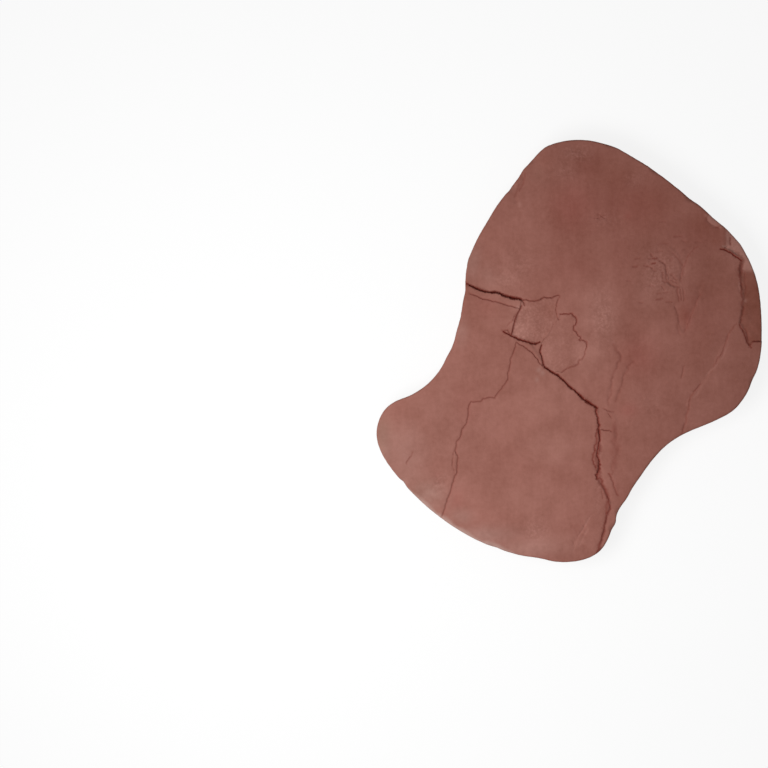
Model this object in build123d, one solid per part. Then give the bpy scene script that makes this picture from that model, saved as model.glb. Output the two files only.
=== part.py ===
"""An irregular stepping flagstone: one split slab of red-brown stone, in millimetres.

The slab lies on its bed face at Z = 0, with its walking face up. X runs across the stone and Y along it.
Its plan shape is drawn in shares of half its width and half its length, measured from the middle of the stone,
so the edge, the cracks and the broken places all follow the two overall sizes.
"""

from build123d import *

import os
from itertools import pairwise
from math import cos, radians, sin

# Overall size of the slab.
STONE_WIDTH = 489.0
STONE_LENGTH = 536.0
THICKNESS = 40.0

# Rounded rims where the split edge meets the walking face and the bed face.
TOP_RIM_RADIUS = 4.0
BED_RIM_RADIUS = 3.0

# Ledge along the right-hand edge, where the top layer has broken away.
LEDGE_DROP = 4.0

# Two shallow scars in the middle, where thin flakes have lifted off.
UPPER_FLAKE_DEPTH = 2.4
LOWER_FLAKE_DEPTH = 1.4

# Open crack right across the stone, and the finer crack that branches off it.
MAIN_CRACK_WIDTH = 3.0
MAIN_CRACK_DEPTH = 9.0
BRANCH_CRACK_WIDTH = 1.6
BRANCH_CRACK_DEPTH = 5.0

# Edge at the lower left, worn down to a slope.
WORN_EDGE_SLOPE = 17.0

# Height by which cutting shapes stand above the walking face.
CUT_CLEARANCE = 10.0

# Plan shapes, as (across, along) shares of half the width and half the length.
EDGE = [
    (0.029, 1.000), (0.242, 0.967), (0.553, 0.777), (0.855, 0.543), (0.969, 0.355), (1.000, 0.156),
    (0.974, -0.095), (0.855, -0.273), (0.626, -0.379), (0.481, -0.457), (0.366, -0.597), (0.247, -0.773),
    (0.158, -0.948), (-0.003, -1.000), (-0.184, -0.983), (-0.429, -0.917), (-0.683, -0.780),
    (-0.891, -0.595), (-1.000, -0.374), (-0.948, -0.270), (-0.777, -0.185), (-0.642, -0.047),
    (-0.564, 0.156), (-0.532, 0.374), (-0.434, 0.611), (-0.247, 0.839), (-0.127, 0.960),
]
LEDGE = [
    (0.735, 0.670), (0.745, 0.592), (0.787, 0.483), (0.855, 0.457), (0.888, 0.429), (0.881, 0.384),
    (0.896, 0.284), (0.896, 0.246), (0.883, 0.133), (0.922, 0.043), (0.938, 0.014), (0.956, 0.043),
    (1.080, 0.043), (1.080, 0.670),
]
UPPER_FLAKE = [
    (-0.252, 0.249), (-0.195, 0.237), (-0.132, 0.256), (-0.057, 0.263), (-0.070, 0.190), (-0.060, 0.152),
    (-0.096, 0.100), (-0.151, 0.036), (-0.210, 0.043), (-0.306, 0.076), (-0.278, 0.161),
]
LOWER_FLAKE = [
    (-0.047, 0.173), (0.013, 0.178), (0.034, 0.152), (0.023, 0.095), (0.060, 0.066), (0.086, 0.045),
    (0.081, -0.009), (0.044, -0.064), (-0.044, -0.109), (-0.129, -0.074), (-0.153, 0.005),
    (-0.151, 0.036), (-0.096, 0.100), (-0.060, 0.152),
]
MAIN_CRACK = [
    (-0.570, 0.332), (-0.444, 0.284), (-0.382, 0.282), (-0.252, 0.249), (-0.278, 0.161), (-0.306, 0.076),
    (-0.210, 0.043), (-0.151, 0.033), (-0.129, -0.074), (-0.052, -0.116), (0.091, -0.242),
    (0.144, -0.270), (0.151, -0.365), (0.156, -0.422), (0.138, -0.479), (0.151, -0.536), (0.136, -0.597),
    (0.169, -0.630), (0.208, -0.720), (0.190, -0.791), (0.158, -0.910), (0.148, -1.000),
]
BRANCH_CRACK = [
    (-0.275, 0.054), (-0.306, -0.033), (-0.318, -0.135), (-0.389, -0.225), (-0.514, -0.239),
    (-0.527, -0.318), (-0.590, -0.431), (-0.579, -0.517), (-0.616, -0.678), (-0.690, -0.830),
]
WORN_EDGE = [(-0.891, -0.595), (-0.184, -0.983)]


def plan(shares, height=0.0):
    """Points of a plan shape at their real places, all at one height."""
    return [Vector(u * STONE_WIDTH / 2, v * STONE_LENGTH / 2, height) for u, v in shares]


def split_slab():
    """The slab as it was split from the bed, with its rims rounded."""
    slab = extrude(make_face(Spline(*plan(EDGE), periodic=True)), amount=THICKNESS)
    slab = fillet(slab.faces().sort_by(Axis.Z)[-1].edges(), TOP_RIM_RADIUS)
    return fillet(slab.faces().sort_by(Axis.Z)[0].edges(), BED_RIM_RADIUS)


def broken_layer(shares, depth):
    """What has come away where the walking face is broken down by a depth within an outline."""
    outline = Polyline(*plan(shares, THICKNESS - depth), close=True)
    return extrude(make_face(outline), amount=depth + CUT_CLEARANCE)


def crack(shares, width, depth):
    """A V-shaped crack in the walking face: one wedge for each straight run of its route."""
    section = Polygon(
        (-width / 2, CUT_CLEARANCE), (-width / 2, 0), (0, -depth), (width / 2, 0), (width / 2, CUT_CLEARANCE),
        align=None,
    )
    wedges = []
    for start, end in pairwise(plan(shares, THICKNESS)):
        along = (end - start).normalized()
        across = Vector(0, 0, 1).cross(along)
        overlap = width / 2
        face = Plane(start - along * overlap, x_dir=across, z_dir=along) * section
        wedges.append(extrude(face, amount=(end - start).length + 2 * overlap, dir=along))
    return wedges


def worn_slope():
    """What has worn away outside the line where the lower left edge starts to slope down."""
    start, end = plan(WORN_EDGE, THICKNESS)
    along = (end - start).normalized()
    outward = along.cross(Vector(0, 0, 1))
    slope = radians(WORN_EDGE_SLOPE)
    face = Plane((start + end) / 2, x_dir=along, z_dir=Vector(0, 0, cos(slope)) + outward * sin(slope))
    reach = (end - start).length
    return face * Box(2 * reach, reach, CUT_CLEARANCE, align=(Align.CENTER, Align.CENTER, Align.MIN))


def flagstone():
    """The whole stone, as one solid."""
    stone = split_slab()
    stone -= broken_layer(LEDGE, LEDGE_DROP)
    stone -= broken_layer(UPPER_FLAKE, UPPER_FLAKE_DEPTH)
    stone -= broken_layer(LOWER_FLAKE, LOWER_FLAKE_DEPTH)
    stone -= worn_slope()
    stone -= crack(MAIN_CRACK, MAIN_CRACK_WIDTH, MAIN_CRACK_DEPTH)
    stone -= crack(BRANCH_CRACK, BRANCH_CRACK_WIDTH, BRANCH_CRACK_DEPTH)
    return stone


os.makedirs("parts", exist_ok=True)
export_step(flagstone(), "parts/flagstone.step")
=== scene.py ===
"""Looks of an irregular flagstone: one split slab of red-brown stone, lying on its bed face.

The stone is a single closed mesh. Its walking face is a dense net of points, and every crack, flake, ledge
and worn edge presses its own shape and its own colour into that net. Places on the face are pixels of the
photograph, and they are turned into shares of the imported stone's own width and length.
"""

import logging
import math
from collections.abc import Sequence
from dataclasses import dataclass, field
from enum import Enum

import bpy
import numpy as np
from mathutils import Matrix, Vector, noise
from mathutils.geometry import delaunay_2d_cdt
from mathutils.kdtree import KDTree


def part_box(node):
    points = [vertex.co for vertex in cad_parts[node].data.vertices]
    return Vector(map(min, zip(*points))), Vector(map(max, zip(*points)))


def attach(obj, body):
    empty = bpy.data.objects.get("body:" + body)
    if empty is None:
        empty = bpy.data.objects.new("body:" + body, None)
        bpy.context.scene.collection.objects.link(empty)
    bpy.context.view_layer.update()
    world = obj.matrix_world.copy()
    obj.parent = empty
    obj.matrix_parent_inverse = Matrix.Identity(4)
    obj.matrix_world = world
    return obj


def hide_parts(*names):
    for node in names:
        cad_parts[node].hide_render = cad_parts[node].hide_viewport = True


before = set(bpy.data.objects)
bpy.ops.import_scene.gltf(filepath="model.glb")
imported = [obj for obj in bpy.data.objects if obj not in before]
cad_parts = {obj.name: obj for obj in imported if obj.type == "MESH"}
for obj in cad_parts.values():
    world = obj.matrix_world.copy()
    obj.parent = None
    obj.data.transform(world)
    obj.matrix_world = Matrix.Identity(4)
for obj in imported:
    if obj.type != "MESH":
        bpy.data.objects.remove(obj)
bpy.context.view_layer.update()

log = logging.getLogger("flagstone")

MM = 0.001
NODE = "flagstone"
BODY = "root"
PIECE = "cleft_slab"

# How quickly a soft patch or bulge fades away from its middle.
FALLOFF = 1.6

Pixel = tuple[float, float]
Pair = tuple[float, float]
Colour = tuple[float, ...]


@dataclass(frozen=True)
class PhotoPlan:
    """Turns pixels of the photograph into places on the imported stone.

    The photograph looks straight down, so a pixel is a share of the stone's half width and half length,
    measured from the middle of its outline.

    Attributes:
        low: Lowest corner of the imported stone's box.
        high: Its highest corner.
        middle: Pixel at the stone's middle.
        half_span: Half the stone's width and length, in pixels.
        side: Width and height of the photograph, in pixels.
    """

    low: Vector
    high: Vector
    middle: Pixel = (569.5, 351.0)
    half_span: Pair = (192.5, 211.0)
    side: float = 768.0

    @property
    def pixel(self) -> float:
        """Size of one pixel on the walking face, in metres."""
        return (self.high.x - self.low.x) / 2 / self.half_span[0]

    @property
    def top(self) -> float:
        """Height of the walking face, in metres."""
        return self.high.z

    def place(self, pixels: Sequence[Sequence[float]]) -> np.ndarray:
        """Find where pixels lie on the stone.

        Args:
            pixels: Rows that start with a pixel's x and y.

        Returns:
            Rows of x and y, in metres.
        """
        shares = np.array([row[:2] for row in pixels], float) - self.middle
        half = np.array([self.high.x - self.low.x, self.low.y - self.high.y]) / 2
        centre = np.array([self.high.x + self.low.x, self.high.y + self.low.y]) / 2
        return centre + shares / self.half_span * half


class Paint(Enum):
    """What a spot of the stone is tinted with, and the mesh attribute that carries it."""

    # Dark grime, and painted shade in cracks, dents and corners, along low steps and the ledge's brink, and
    # towards the upper right.
    DIRT_AND_SHADE = "dirt_and_painted_shade"
    PALE = "pale_wear"
    # A darker umber layer, and painted shade along the rim, on the break's face beside the ledge's facet, and
    # towards the upper right.
    UMBER_AND_SHADE = "umber_layer_and_painted_shade"
    ROSE = "rose_bloom"
    TAWNY = "tawny_stain"
    GRIT = "gritty_scar"
    # Freshly broken pale stone, and a painted highlight along the lit edge of the ledge's brink.
    FRESH_AND_HIGHLIGHT = "fresh_break_and_painted_highlight"


class Side(Enum):
    """The side of a line, for someone walking along it."""

    LEFT = 1.0
    RIGHT = -1.0


@dataclass(frozen=True)
class Lumps:
    """Natural unevenness.

    Attributes:
        size: How far apart its lumps lie, along x, y and z where they differ, in millimetres.
        octaves: How many finer and finer layers it has.
        shift: Moves the pattern, so that no two are alike.
    """

    size: float | tuple[float, float, float]
    octaves: int
    shift: float

    def at(self, spots: np.ndarray) -> np.ndarray:
        """Value at each of some rows of x, y and z, about -1 to 1."""
        scaled = spots / (np.array(self.size) * MM) + self.shift
        return np.array([noise.fractal(spot, 1.0, 2.0, self.octaves) for spot in scaled.tolist()])


def rise(share: np.ndarray) -> np.ndarray:
    """Smooth climb from 0 to 1 as a share goes from 0 to 1."""
    held = np.clip(share, 0.0, 1.0)
    return held * held * (3.0 - 2.0 * held)


def upright(spots: np.ndarray, height: float = 0.0) -> np.ndarray:
    """Plan spots as rows of x, y, z, all at one height."""
    return np.column_stack([spots, np.full(len(spots), height)])


def within(spots: np.ndarray, outline: np.ndarray) -> np.ndarray:
    """Tell which spots lie inside a closed outline.

    Args:
        spots: Rows of x and y.
        outline: Corners of the outline, in order.

    Returns:
        True for each spot inside.
    """
    inside = np.zeros(len(spots), bool)
    for (x0, y0), (x1, y1) in zip(outline, np.roll(outline, -1, axis=0)):
        if y0 == y1:
            continue
        crosses = (spots[:, 1] < y0) != (spots[:, 1] < y1)
        inside ^= crosses & (spots[:, 0] < x0 + (spots[:, 1] - y0) * (x1 - x0) / (y1 - y0))
    return inside


def tree_of(spots: np.ndarray) -> KDTree:
    """Make a search tree.

    Args:
        spots: Rows of x and y.

    Returns:
        The tree over them.
    """
    tree = KDTree(len(spots))
    for number, (x, y) in enumerate(spots.tolist()):
        tree.insert((x, y, 0.0), number)
    tree.balance()
    return tree


def distances(spots: np.ndarray, tree: KDTree) -> np.ndarray:
    """Distance from each plan spot to the nearest one in a tree."""
    return np.array([tree.find((x, y, 0.0))[2] for x, y in spots.tolist()])


@dataclass(frozen=True)
class Nearness:
    """How some spots lie beside a route.

    Attributes:
        index: Which spots these are.
        gap: Distance from the route, positive on its left.
        share: How far along the route, from 0 to 1.
        opening: Width of the route there.
    """

    index: np.ndarray
    gap: np.ndarray
    share: np.ndarray
    opening: np.ndarray


@dataclass(frozen=True)
class Route:
    """A line over the walking face, as rows of x, y and opening, in metres."""

    line: np.ndarray

    @classmethod
    def drawn(cls, plan: PhotoPlan, stations: Sequence[Sequence[float]], jag: float, seed: int) -> "Route":
        """Turn a line drawn on the photograph into a rough natural one.

        Args:
            plan: Where pixels lie.
            stations: Pixel x, pixel y and, where it has one, the opening in millimetres.
            jag: How far each run is broken aside, as a share of its length.
            seed: Fixes the breaks.

        Returns:
            The route, with evenly spaced points.
        """
        spacing = 1.3 * MM
        narrowest = 0.7
        widest = 1.3
        chance = np.random.default_rng(seed)
        openings = [row[2] * MM if len(row) > 2 else 0.0 for row in stations]
        line = np.column_stack([plan.place(stations), openings])
        while np.linalg.norm(np.diff(line[:, :2], axis=0), axis=1).max() > spacing:
            run = np.diff(line[:, :2], axis=0)
            push = chance.uniform(-jag, jag, len(run))
            broken = (line[:-1] + line[1:]) / 2
            broken[:, 0] -= run[:, 1] * push
            broken[:, 1] += run[:, 0] * push
            finer = np.empty((len(line) + len(broken), 3))
            finer[0::2] = line
            finer[1::2] = broken
            line = finer
        lengths = np.linalg.norm(np.diff(line[:, :2], axis=0), axis=1)
        reached = np.concatenate([[0.0], np.cumsum(lengths)])
        stops = np.linspace(0.0, reached[-1], max(2, round(reached[-1] / spacing) + 1))
        even = np.column_stack([np.interp(stops, reached, column) for column in line.T])
        even[:, 2] *= chance.uniform(narrowest, widest, len(even))
        return cls(even)

    def near(self, spots: np.ndarray, reach: float) -> Nearness:
        """Measure the spots that lie within reach of the route.

        Args:
            spots: Rows of x and y.
            reach: How far to look to each side.

        Returns:
            Where those spots lie.
        """
        places = self.line[:, :2]
        boxed = (spots > places.min(axis=0) - reach) & (spots < places.max(axis=0) + reach)
        index = np.flatnonzero(boxed.all(axis=1))
        close = spots[index]
        best = np.full(len(index), np.inf)
        at_run = np.zeros(len(index), int)
        along_run = np.zeros(len(index))
        runs = np.diff(places, axis=0)
        for number, (start, run) in enumerate(zip(places, runs)):
            along = np.clip((close - start) @ run / (run @ run), 0.0, 1.0)
            away = close - start - along[:, None] * run
            squared = np.einsum("ij,ij->i", away, away)
            nearer = squared < best
            best[nearer] = squared[nearer]
            at_run[nearer] = number
            along_run[nearer] = along[nearer]
        heading = runs / np.linalg.norm(runs, axis=1)[:, None]
        corner = np.vstack([heading[:1], heading[:-1] + heading[1:], heading[-1:]])
        facing = heading[at_run]
        facing[along_run <= 0.0] = corner[at_run[along_run <= 0.0]]
        facing[along_run >= 1.0] = corner[at_run[along_run >= 1.0] + 1]
        away = close - places[at_run] - along_run[:, None] * runs[at_run]
        left = facing[:, 0] * away[:, 1] - facing[:, 1] * away[:, 0]
        width = self.line[:, 2]
        kept = best < reach * reach
        return Nearness(
            index[kept],
            (np.sqrt(best) * np.where(left < 0.0, -1.0, 1.0))[kept],
            ((at_run + along_run) / len(runs))[kept],
            (width[at_run] * (1.0 - along_run) + width[at_run + 1] * along_run)[kept],
        )

    def beside(self, offset: np.ndarray | float) -> np.ndarray:
        """Lay out a row of spots that keeps beside the route.

        Args:
            offset: How far to the left it stands, everywhere or at each point.

        Returns:
            Rows of x and y.
        """
        heading = np.gradient(self.line[:, :2], axis=0)
        heading /= np.linalg.norm(heading, axis=1)[:, None]
        leftward = np.column_stack([-heading[:, 1], heading[:, 0]])
        return self.line[:, :2] + leftward * np.reshape(offset, (-1, 1))


@dataclass
class FaceField:
    """Drops and tints of a set of spots on the walking face, built up one mark at a time.

    Attributes:
        plan: Where pixels lie on the stone.
        spots: Rows of x and y.
        edge: How far inside the stone's outline each spot lies.
        drop: How far each spot lies below the walking face, without its cracks.
        cut: How deep the cracks go below that.
        tint: Strength of each paint, from 0 to 1.
    """

    plan: PhotoPlan
    spots: np.ndarray
    edge: np.ndarray
    drop: np.ndarray = field(init=False)
    cut: np.ndarray = field(init=False)
    tint: dict[Paint, np.ndarray] = field(init=False)

    def __post_init__(self) -> None:
        """Start level and bare."""
        self.drop = np.zeros(len(self.spots))
        self.cut = np.zeros(len(self.spots))
        self.tint = {paint: np.zeros(len(self.spots)) for paint in Paint}

    def carve(self, index: np.ndarray, depth: np.ndarray) -> None:
        """Cut a crack, which is as deep as the deepest that meets there."""
        self.cut[index] = np.maximum(self.cut[index], depth)

    def stain(self, paint: Paint, index: np.ndarray, strength: np.ndarray) -> None:
        """Tint some spots, where no stronger tint of that kind is."""
        self.tint[paint][index] = np.maximum(self.tint[paint][index], strength)


class Drawn:
    """A mark along a line that was drawn on the photograph. Its sizes are in millimetres.

    Attributes:
        stations: Pixel x and y along it and, for a crack, its opening.
        jag: How ragged it runs.
        seed: Fixes its breaks.
    """

    stations: Sequence[Sequence[float]]
    jag: float
    seed: int

    def route(self, plan: PhotoPlan) -> Route:
        """The mark's line."""
        return Route.drawn(plan, self.stations, self.jag, self.seed)

    def offsets(self, route: Route) -> Sequence[np.ndarray | float]:
        """How far to the left of the line the net needs further rows, in metres."""
        raise NotImplementedError

    def net(self, plan: PhotoPlan) -> tuple[np.ndarray, list[np.ndarray]]:
        """Lay out the spots that the net needs to show the mark.

        Args:
            plan: Where pixels lie.

        Returns:
            The mark's line, and the rows beside it.
        """
        route = self.route(plan)
        return route.line[:, :2], [route.beside(offset) for offset in self.offsets(route)]


@dataclass(frozen=True)
class Crack(Drawn):
    """A V-shaped crack, hairline or groove.

    Attributes:
        depth: Depth where it is widest.
        strength: How strongly it is tinted inside, from 0 to 1.
        paint: What it is tinted with.
    """

    stations: Sequence[tuple[float, float, float]]
    depth: float
    strength: float
    seed: int
    jag: float = 0.11
    paint: Paint = Paint.DIRT_AND_SHADE

    def offsets(self, route: Route) -> Sequence[np.ndarray | float]:
        """Place rows at the crack's lips and outside them.

        Args:
            route: The crack's line.

        Returns:
            How far to the left of the line each row lies, in metres.
        """
        half = route.line[:, 2] / 2
        lip = 1.4 * MM
        return half, -half, half + lip, -half - lip

    def press(self, face: FaceField) -> None:
        """Cut the crack into the face and tint it.

        Args:
            face: The spots to change.
        """
        lip = 2.0 * MM
        lip_drop = 0.3 * MM
        tint_spill_reach = 0.35 * MM
        tint_spill_half = 0.9 * MM
        taper = 0.7
        darkening = 1.5
        route = self.route(face.plan)
        widest = route.line[:, 2].max()
        near = route.near(face.spots, widest + 2 * lip)
        half = near.opening / 2
        tint_spill = tint_spill_reach * np.minimum(1.0, tint_spill_half / half)
        away = np.abs(near.gap)
        wedge = np.clip(1.0 - away / half, 0.0, 1.0)
        share = (near.opening / widest) ** taper
        worn = np.clip(1.0 - np.maximum(away - half, 0.0) / lip, 0.0, 1.0) ** 2
        rounded = lip_drop * share * worn * min(1.0, widest / lip)
        face.carve(near.index, self.depth * MM * share * wedge + rounded)
        # With the dark paint, the tint inside a crack and a little past its lips is grime and painted shade,
        # standing in for the shadow inside it.
        inside = np.clip(1.0 + tint_spill / half - away / half, 0.0, 1.0)
        face.stain(self.paint, near.index, self.strength * np.minimum(1.0, darkening * inside))

    @classmethod
    def dash(cls, number: int, start: Pixel, end: Pixel, opening: float, strength: float) -> "Crack":
        """Make a short shallow groove, widest in its middle.

        Args:
            number: Which dash it is, so that no two break alike.
            start: Pixel at one end.
            end: Pixel at the other.
            opening: Its widest opening.
            strength: How dark it is, from 0 to 1.

        Returns:
            The groove.
        """
        depth = 0.3
        jag = 0.14
        first_seed = 200
        middle = ((start[0] + end[0]) / 2, (start[1] + end[1]) / 2, opening)
        stations = ((*start, opening / 2), middle, (*end, opening / 2))
        return cls(stations, depth, strength, first_seed + number, jag)


@dataclass(frozen=True)
class Step(Drawn):
    """A low step: the face lies lower on one side of a line and comes back up further away.

    Attributes:
        side: The lower side.
        drop: Height of the step.
        fade: How far away the face is level again.
        riser: Width of the step's own slope.
        ends: Share of its length over which it dies away at each end.
    """

    stations: Sequence[Pixel]
    side: Side
    drop: float
    fade: float
    riser: float
    seed: int
    jag: float = 0.12
    ends: float = 0.12

    def offsets(self, route: Route) -> Sequence[np.ndarray | float]:
        """Rows at the step's foot and before its brink."""
        foot = self.side.value * (self.riser * MM)
        return foot, -foot

    def press(self, face: FaceField) -> None:
        """Sink the lower side.

        Args:
            face: The spots to change.
        """
        sag = 1.6
        reach = self.fade * MM
        near = self.route(face.plan).near(face.spots, reach)
        past = near.gap * self.side.value
        tail = rise(np.minimum(near.share, 1.0 - near.share) / self.ends)
        fade = np.clip(1.0 - past / reach, 0.0, 1.0) ** sag
        slope = rise(past / (self.riser * MM))
        face.drop[near.index] += self.drop * MM * tail * fade * slope * (past > 0.0)


@dataclass(frozen=True)
class Flake(Drawn):
    """A scar where a thin flake has lifted off, inside a closed line.

    Attributes:
        depth: Depth at its deep end.
        shallow: Depth at its shallow end, as a share of that.
        deep_end: Direction from its middle to its deep end, in the plan.
        grit: How rough and pale its floor is, from 0 to 1.
        riser: Width of the slope round it.
        floor: Unevenness of its floor.
    """

    stations: Sequence[Pixel]
    depth: float
    shallow: float
    deep_end: Pair
    grit: float
    riser: float
    seed: int
    jag: float = 0.10
    floor: Lumps = Lumps(6, 3, 31.7)

    def route(self, plan: PhotoPlan) -> Route:
        """The scar's edge, closed."""
        return Route.drawn(plan, [*self.stations, self.stations[0]], self.jag, self.seed)

    def offsets(self, route: Route) -> Sequence[np.ndarray | float]:
        """Rows at the foot of its slope and outside its edge."""
        return self.riser * MM, -(self.riser * MM)

    def press(self, face: FaceField) -> None:
        """Sink the scar's floor and roughen it.

        Args:
            face: The spots to change.
        """
        floor_height = 0.16 * MM
        grit_inset = 3 * MM
        edge = self.route(face.plan).line[:, :2]
        reach = np.linalg.norm(np.ptp(edge, axis=0))
        near = Route(upright(edge)).near(face.spots, reach)
        inside = within(face.spots[near.index], edge)
        index = near.index[inside]
        depth = np.abs(near.gap[inside])
        heading = np.array(self.deep_end) / np.linalg.norm(self.deep_end)
        along = (face.spots[index] - edge.mean(axis=0)) @ heading / (reach / 2)
        lean = self.shallow + (1.0 - self.shallow) * rise(0.5 + 0.5 * along)
        uneven = floor_height * self.floor.at(upright(face.spots[index]))
        face.drop[index] += (self.depth * MM * lean + uneven) * rise(depth / (self.riser * MM))
        face.stain(Paint.GRIT, index, self.grit * rise(depth / grit_inset) * lean)


@dataclass(frozen=True)
class Ledge(Drawn):
    """The place along an edge where the top layer has broken away, leaving a lower layer bare.

    Attributes:
        outside: Pixel corners that close the place beyond the stone's edge.
        drop: Height of the break.
        facet_until: Share of the brink, from its top end, beside which the break is a broad pale facet.
        fresh_until: Pixel y above which the bared layer is freshly broken and pale.
        fall: Slope of the bared layer, down towards the edge.
        riser: Width of the break's face.
        facet_riser: Width of the break's face beside the facet.
        layer: Unevenness of the bared layer.
    """

    stations: Sequence[Pixel]
    outside: Sequence[Pixel]
    drop: float
    facet_until: float
    fresh_until: float
    fall: float = 0.12
    riser: float = 4.2
    facet_riser: float = 13
    jag: float = 0.12
    seed: int = 4
    layer: Lumps = Lumps(9, 4, 12.3)

    def offsets(self, route: Route) -> Sequence[np.ndarray | float]:
        """Rows before the brink, down the break and at its foot."""
        return [share * (self.riser * MM) for share in (-0.25, 0.25, 0.5, 1.0)]

    def press(self, face: FaceField) -> None:
        """Sink the bared layer and tint it.

        Args:
            face: The spots to change.
        """
        reach = 60 * MM
        facet_blend = 0.05
        fresh_blend = 7 * MM
        bare_inset = 2.5 * MM
        layer_height = 0.35 * MM
        facet_shade = 0.25
        plain_riser = self.riser * MM
        facet_riser = self.facet_riser * MM
        brink = self.route(face.plan)
        place = np.vstack([brink.line[:, :2], face.plan.place(self.outside)])
        near = brink.near(face.spots, reach)
        inside = within(face.spots[near.index], place)
        index = near.index[inside]
        past = np.abs(near.gap[inside])
        beyond_facet = rise((near.share[inside] - self.facet_until) / facet_blend)
        riser = facet_riser + (plain_riser - facet_riser) * beyond_facet
        uneven = layer_height * self.layer.at(upright(face.spots[index]))
        floor = self.drop * MM + self.fall * past + uneven
        face.drop[index] += floor * rise(past / riser)
        brow = face.plan.place([(0.0, self.fresh_until)])[0, 1]
        fresh = rise((face.spots[index, 1] - brow) / fresh_blend + 0.5)
        bared = rise((past - plain_riser) / bare_inset)
        face.stain(Paint.UMBER_AND_SHADE, index, (1.0 - fresh) * rise(past / riser))
        # Painted shade: a little umber on the break's face beside the facet, which turns away from the light.
        face.stain(Paint.UMBER_AND_SHADE, index, facet_shade * fresh * (1.0 - bared))
        face.stain(Paint.FRESH_AND_HIGHLIGHT, index, fresh * bared)


@dataclass(frozen=True)
class WornEdge:
    """A stretch of edge worn down to a slope, outside a straight line, and pale along its rim.

    Attributes:
        start: Pixel at the line's upper end.
        end: Pixel at its lower end.
        slope: Fall of the worn part, as a share of the distance.
        wear: Unevenness of the wear.
    """

    start: Pixel
    end: Pixel
    slope: float
    wear: Lumps = Lumps(22, 4, 7.9)

    def press(self, face: FaceField) -> None:
        """Wear the edge down and bleach it.

        Args:
            face: The spots to change.
        """
        blend = 16 * MM
        shift = 1.5 * MM
        band = 8 * MM
        band_shift = 0.7
        band_blend = 12 * MM
        start, end = face.plan.place([self.start, self.end])
        along = (end - start) / np.linalg.norm(end - start)
        outward = np.array([along[1], -along[0]])
        past = (face.spots - start) @ outward
        uneven = self.wear.at(upright(face.spots))
        past = past + shift * uneven
        eased = np.maximum(past, 0.0) ** 2 / (2 * blend)
        face.drop += self.slope * np.where(past < blend, eased, past - blend / 2)
        rim = rise(1.0 - face.edge / (band * (1.0 + band_shift * uneven)))
        face.stain(Paint.PALE, np.arange(len(past)), rim * rise(past / band_blend))


@dataclass(frozen=True)
class Nudge:
    """A small bulge or dent of the stone's outline.

    Attributes:
        at: Pixel on the outline.
        reach: Half its length, in pixels.
        push: How far it stands out, or in where it is negative, in millimetres.
    """

    at: Pixel
    reach: float
    push: float

    def along(self, outline: np.ndarray, plan: PhotoPlan) -> np.ndarray:
        """How far each point of the outline stands out because of it."""
        away = np.linalg.norm(outline - plan.place([self.at])[0], axis=1) / (self.reach * plan.pixel)
        return self.push * MM * np.exp(-FALLOFF * away**2)


@dataclass(frozen=True)
class EdgeChip:
    """A chip knocked off the rim. Its sizes are in millimetres.

    Attributes:
        at: Pixel on the outline.
        length: Half its length along the rim.
        width: How far it reaches in from the rim.
        depth: How deep it is at the rim.
        strength: How strongly it is tinted, from 0 to 1.
        paint: What it is tinted with.
    """

    at: Pixel
    length: float
    width: float
    depth: float
    strength: float = 0.0
    paint: Paint = Paint.PALE

    def press(self, face: FaceField) -> None:
        """Take the chip off.

        Args:
            face: The spots to change.
        """
        hollow = 0.8
        tint_edge = 0.3
        length = self.length * MM
        width = self.width * MM
        away = np.linalg.norm(face.spots - face.plan.place([self.at])[0], axis=1)
        index = np.flatnonzero((away < length + width) & (face.edge < width))
        inward = np.maximum(face.edge[index], 0.0) / width
        along = np.sqrt(np.maximum(away[index] ** 2 - face.edge[index] ** 2, 0.0)) / length
        share = np.clip(1.0 - inward - along**2, 0.0, 1.0)
        face.drop[index] += self.depth * MM * share**hollow
        face.stain(self.paint, index, self.strength * rise(share / tint_edge))


@dataclass(frozen=True)
class Chatter:
    """A rough place, covered in small dents that lie any way round.

    Attributes:
        at: Pixel at its middle.
        reach: Its half width and half height, in pixels.
        count: How many dents it has.
        seed: Fixes where they lie.
        length: Shortest and longest dent, in metres.
        width: Narrowest and widest dent, in metres.
        depth: Depth of the deepest one, in metres.
    """

    at: Pixel
    reach: Pair
    count: int
    seed: int
    length: Pair = (1.4 * MM, 4.0 * MM)
    width: Pair = (0.9 * MM, 1.7 * MM)
    depth: float = 0.36 * MM

    def press(self, face: FaceField) -> None:
        """Dent the face and darken the dents a little with grime and painted shade.

        Args:
            face: The spots to change.
        """
        spread = 0.45
        shallowest = 0.2
        dirt_and_shade = 0.15
        chance = np.random.default_rng(self.seed)
        middle = face.plan.place([self.at])[0]
        for _ in range(self.count):
            off = chance.normal(0.0, spread, 2)
            bearing = chance.uniform(0.0, math.pi)
            length = chance.uniform(*self.length)
            width = chance.uniform(*self.width)
            depth = self.depth * chance.uniform(shallowest, 1.0)
            away = face.spots - middle - off * self.reach * face.plan.pixel
            index = np.flatnonzero(np.abs(away).max(axis=1) < 2 * self.length[1])
            along = away[index] @ (math.cos(bearing), math.sin(bearing)) / length
            across = away[index] @ (-math.sin(bearing), math.cos(bearing)) / width
            share = np.exp(-along**2 - across**2)
            face.drop[index] += depth * share
            # Painted shade in the dents, with a little grime.
            face.stain(Paint.DIRT_AND_SHADE, index, dirt_and_shade * depth / self.depth * share)


@dataclass(frozen=True)
class Stain:
    """A soft patch of colour.

    Attributes:
        paint: What it is tinted with.
        at: Pixel at its middle.
        reach: Its half width and half height, in pixels.
        strength: How strongly, from 0 to 1.
    """

    paint: Paint
    at: Pixel
    reach: Pair
    strength: float

    def press(self, face: FaceField) -> None:
        """Tint the patch.

        Args:
            face: The spots to change.
        """
        away = (face.spots - face.plan.place([self.at])[0]) / (np.array(self.reach) * face.plan.pixel)
        share = np.exp(-FALLOFF * np.einsum("ij,ij->i", away, away))
        face.stain(self.paint, np.arange(len(share)), self.strength * share)


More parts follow.
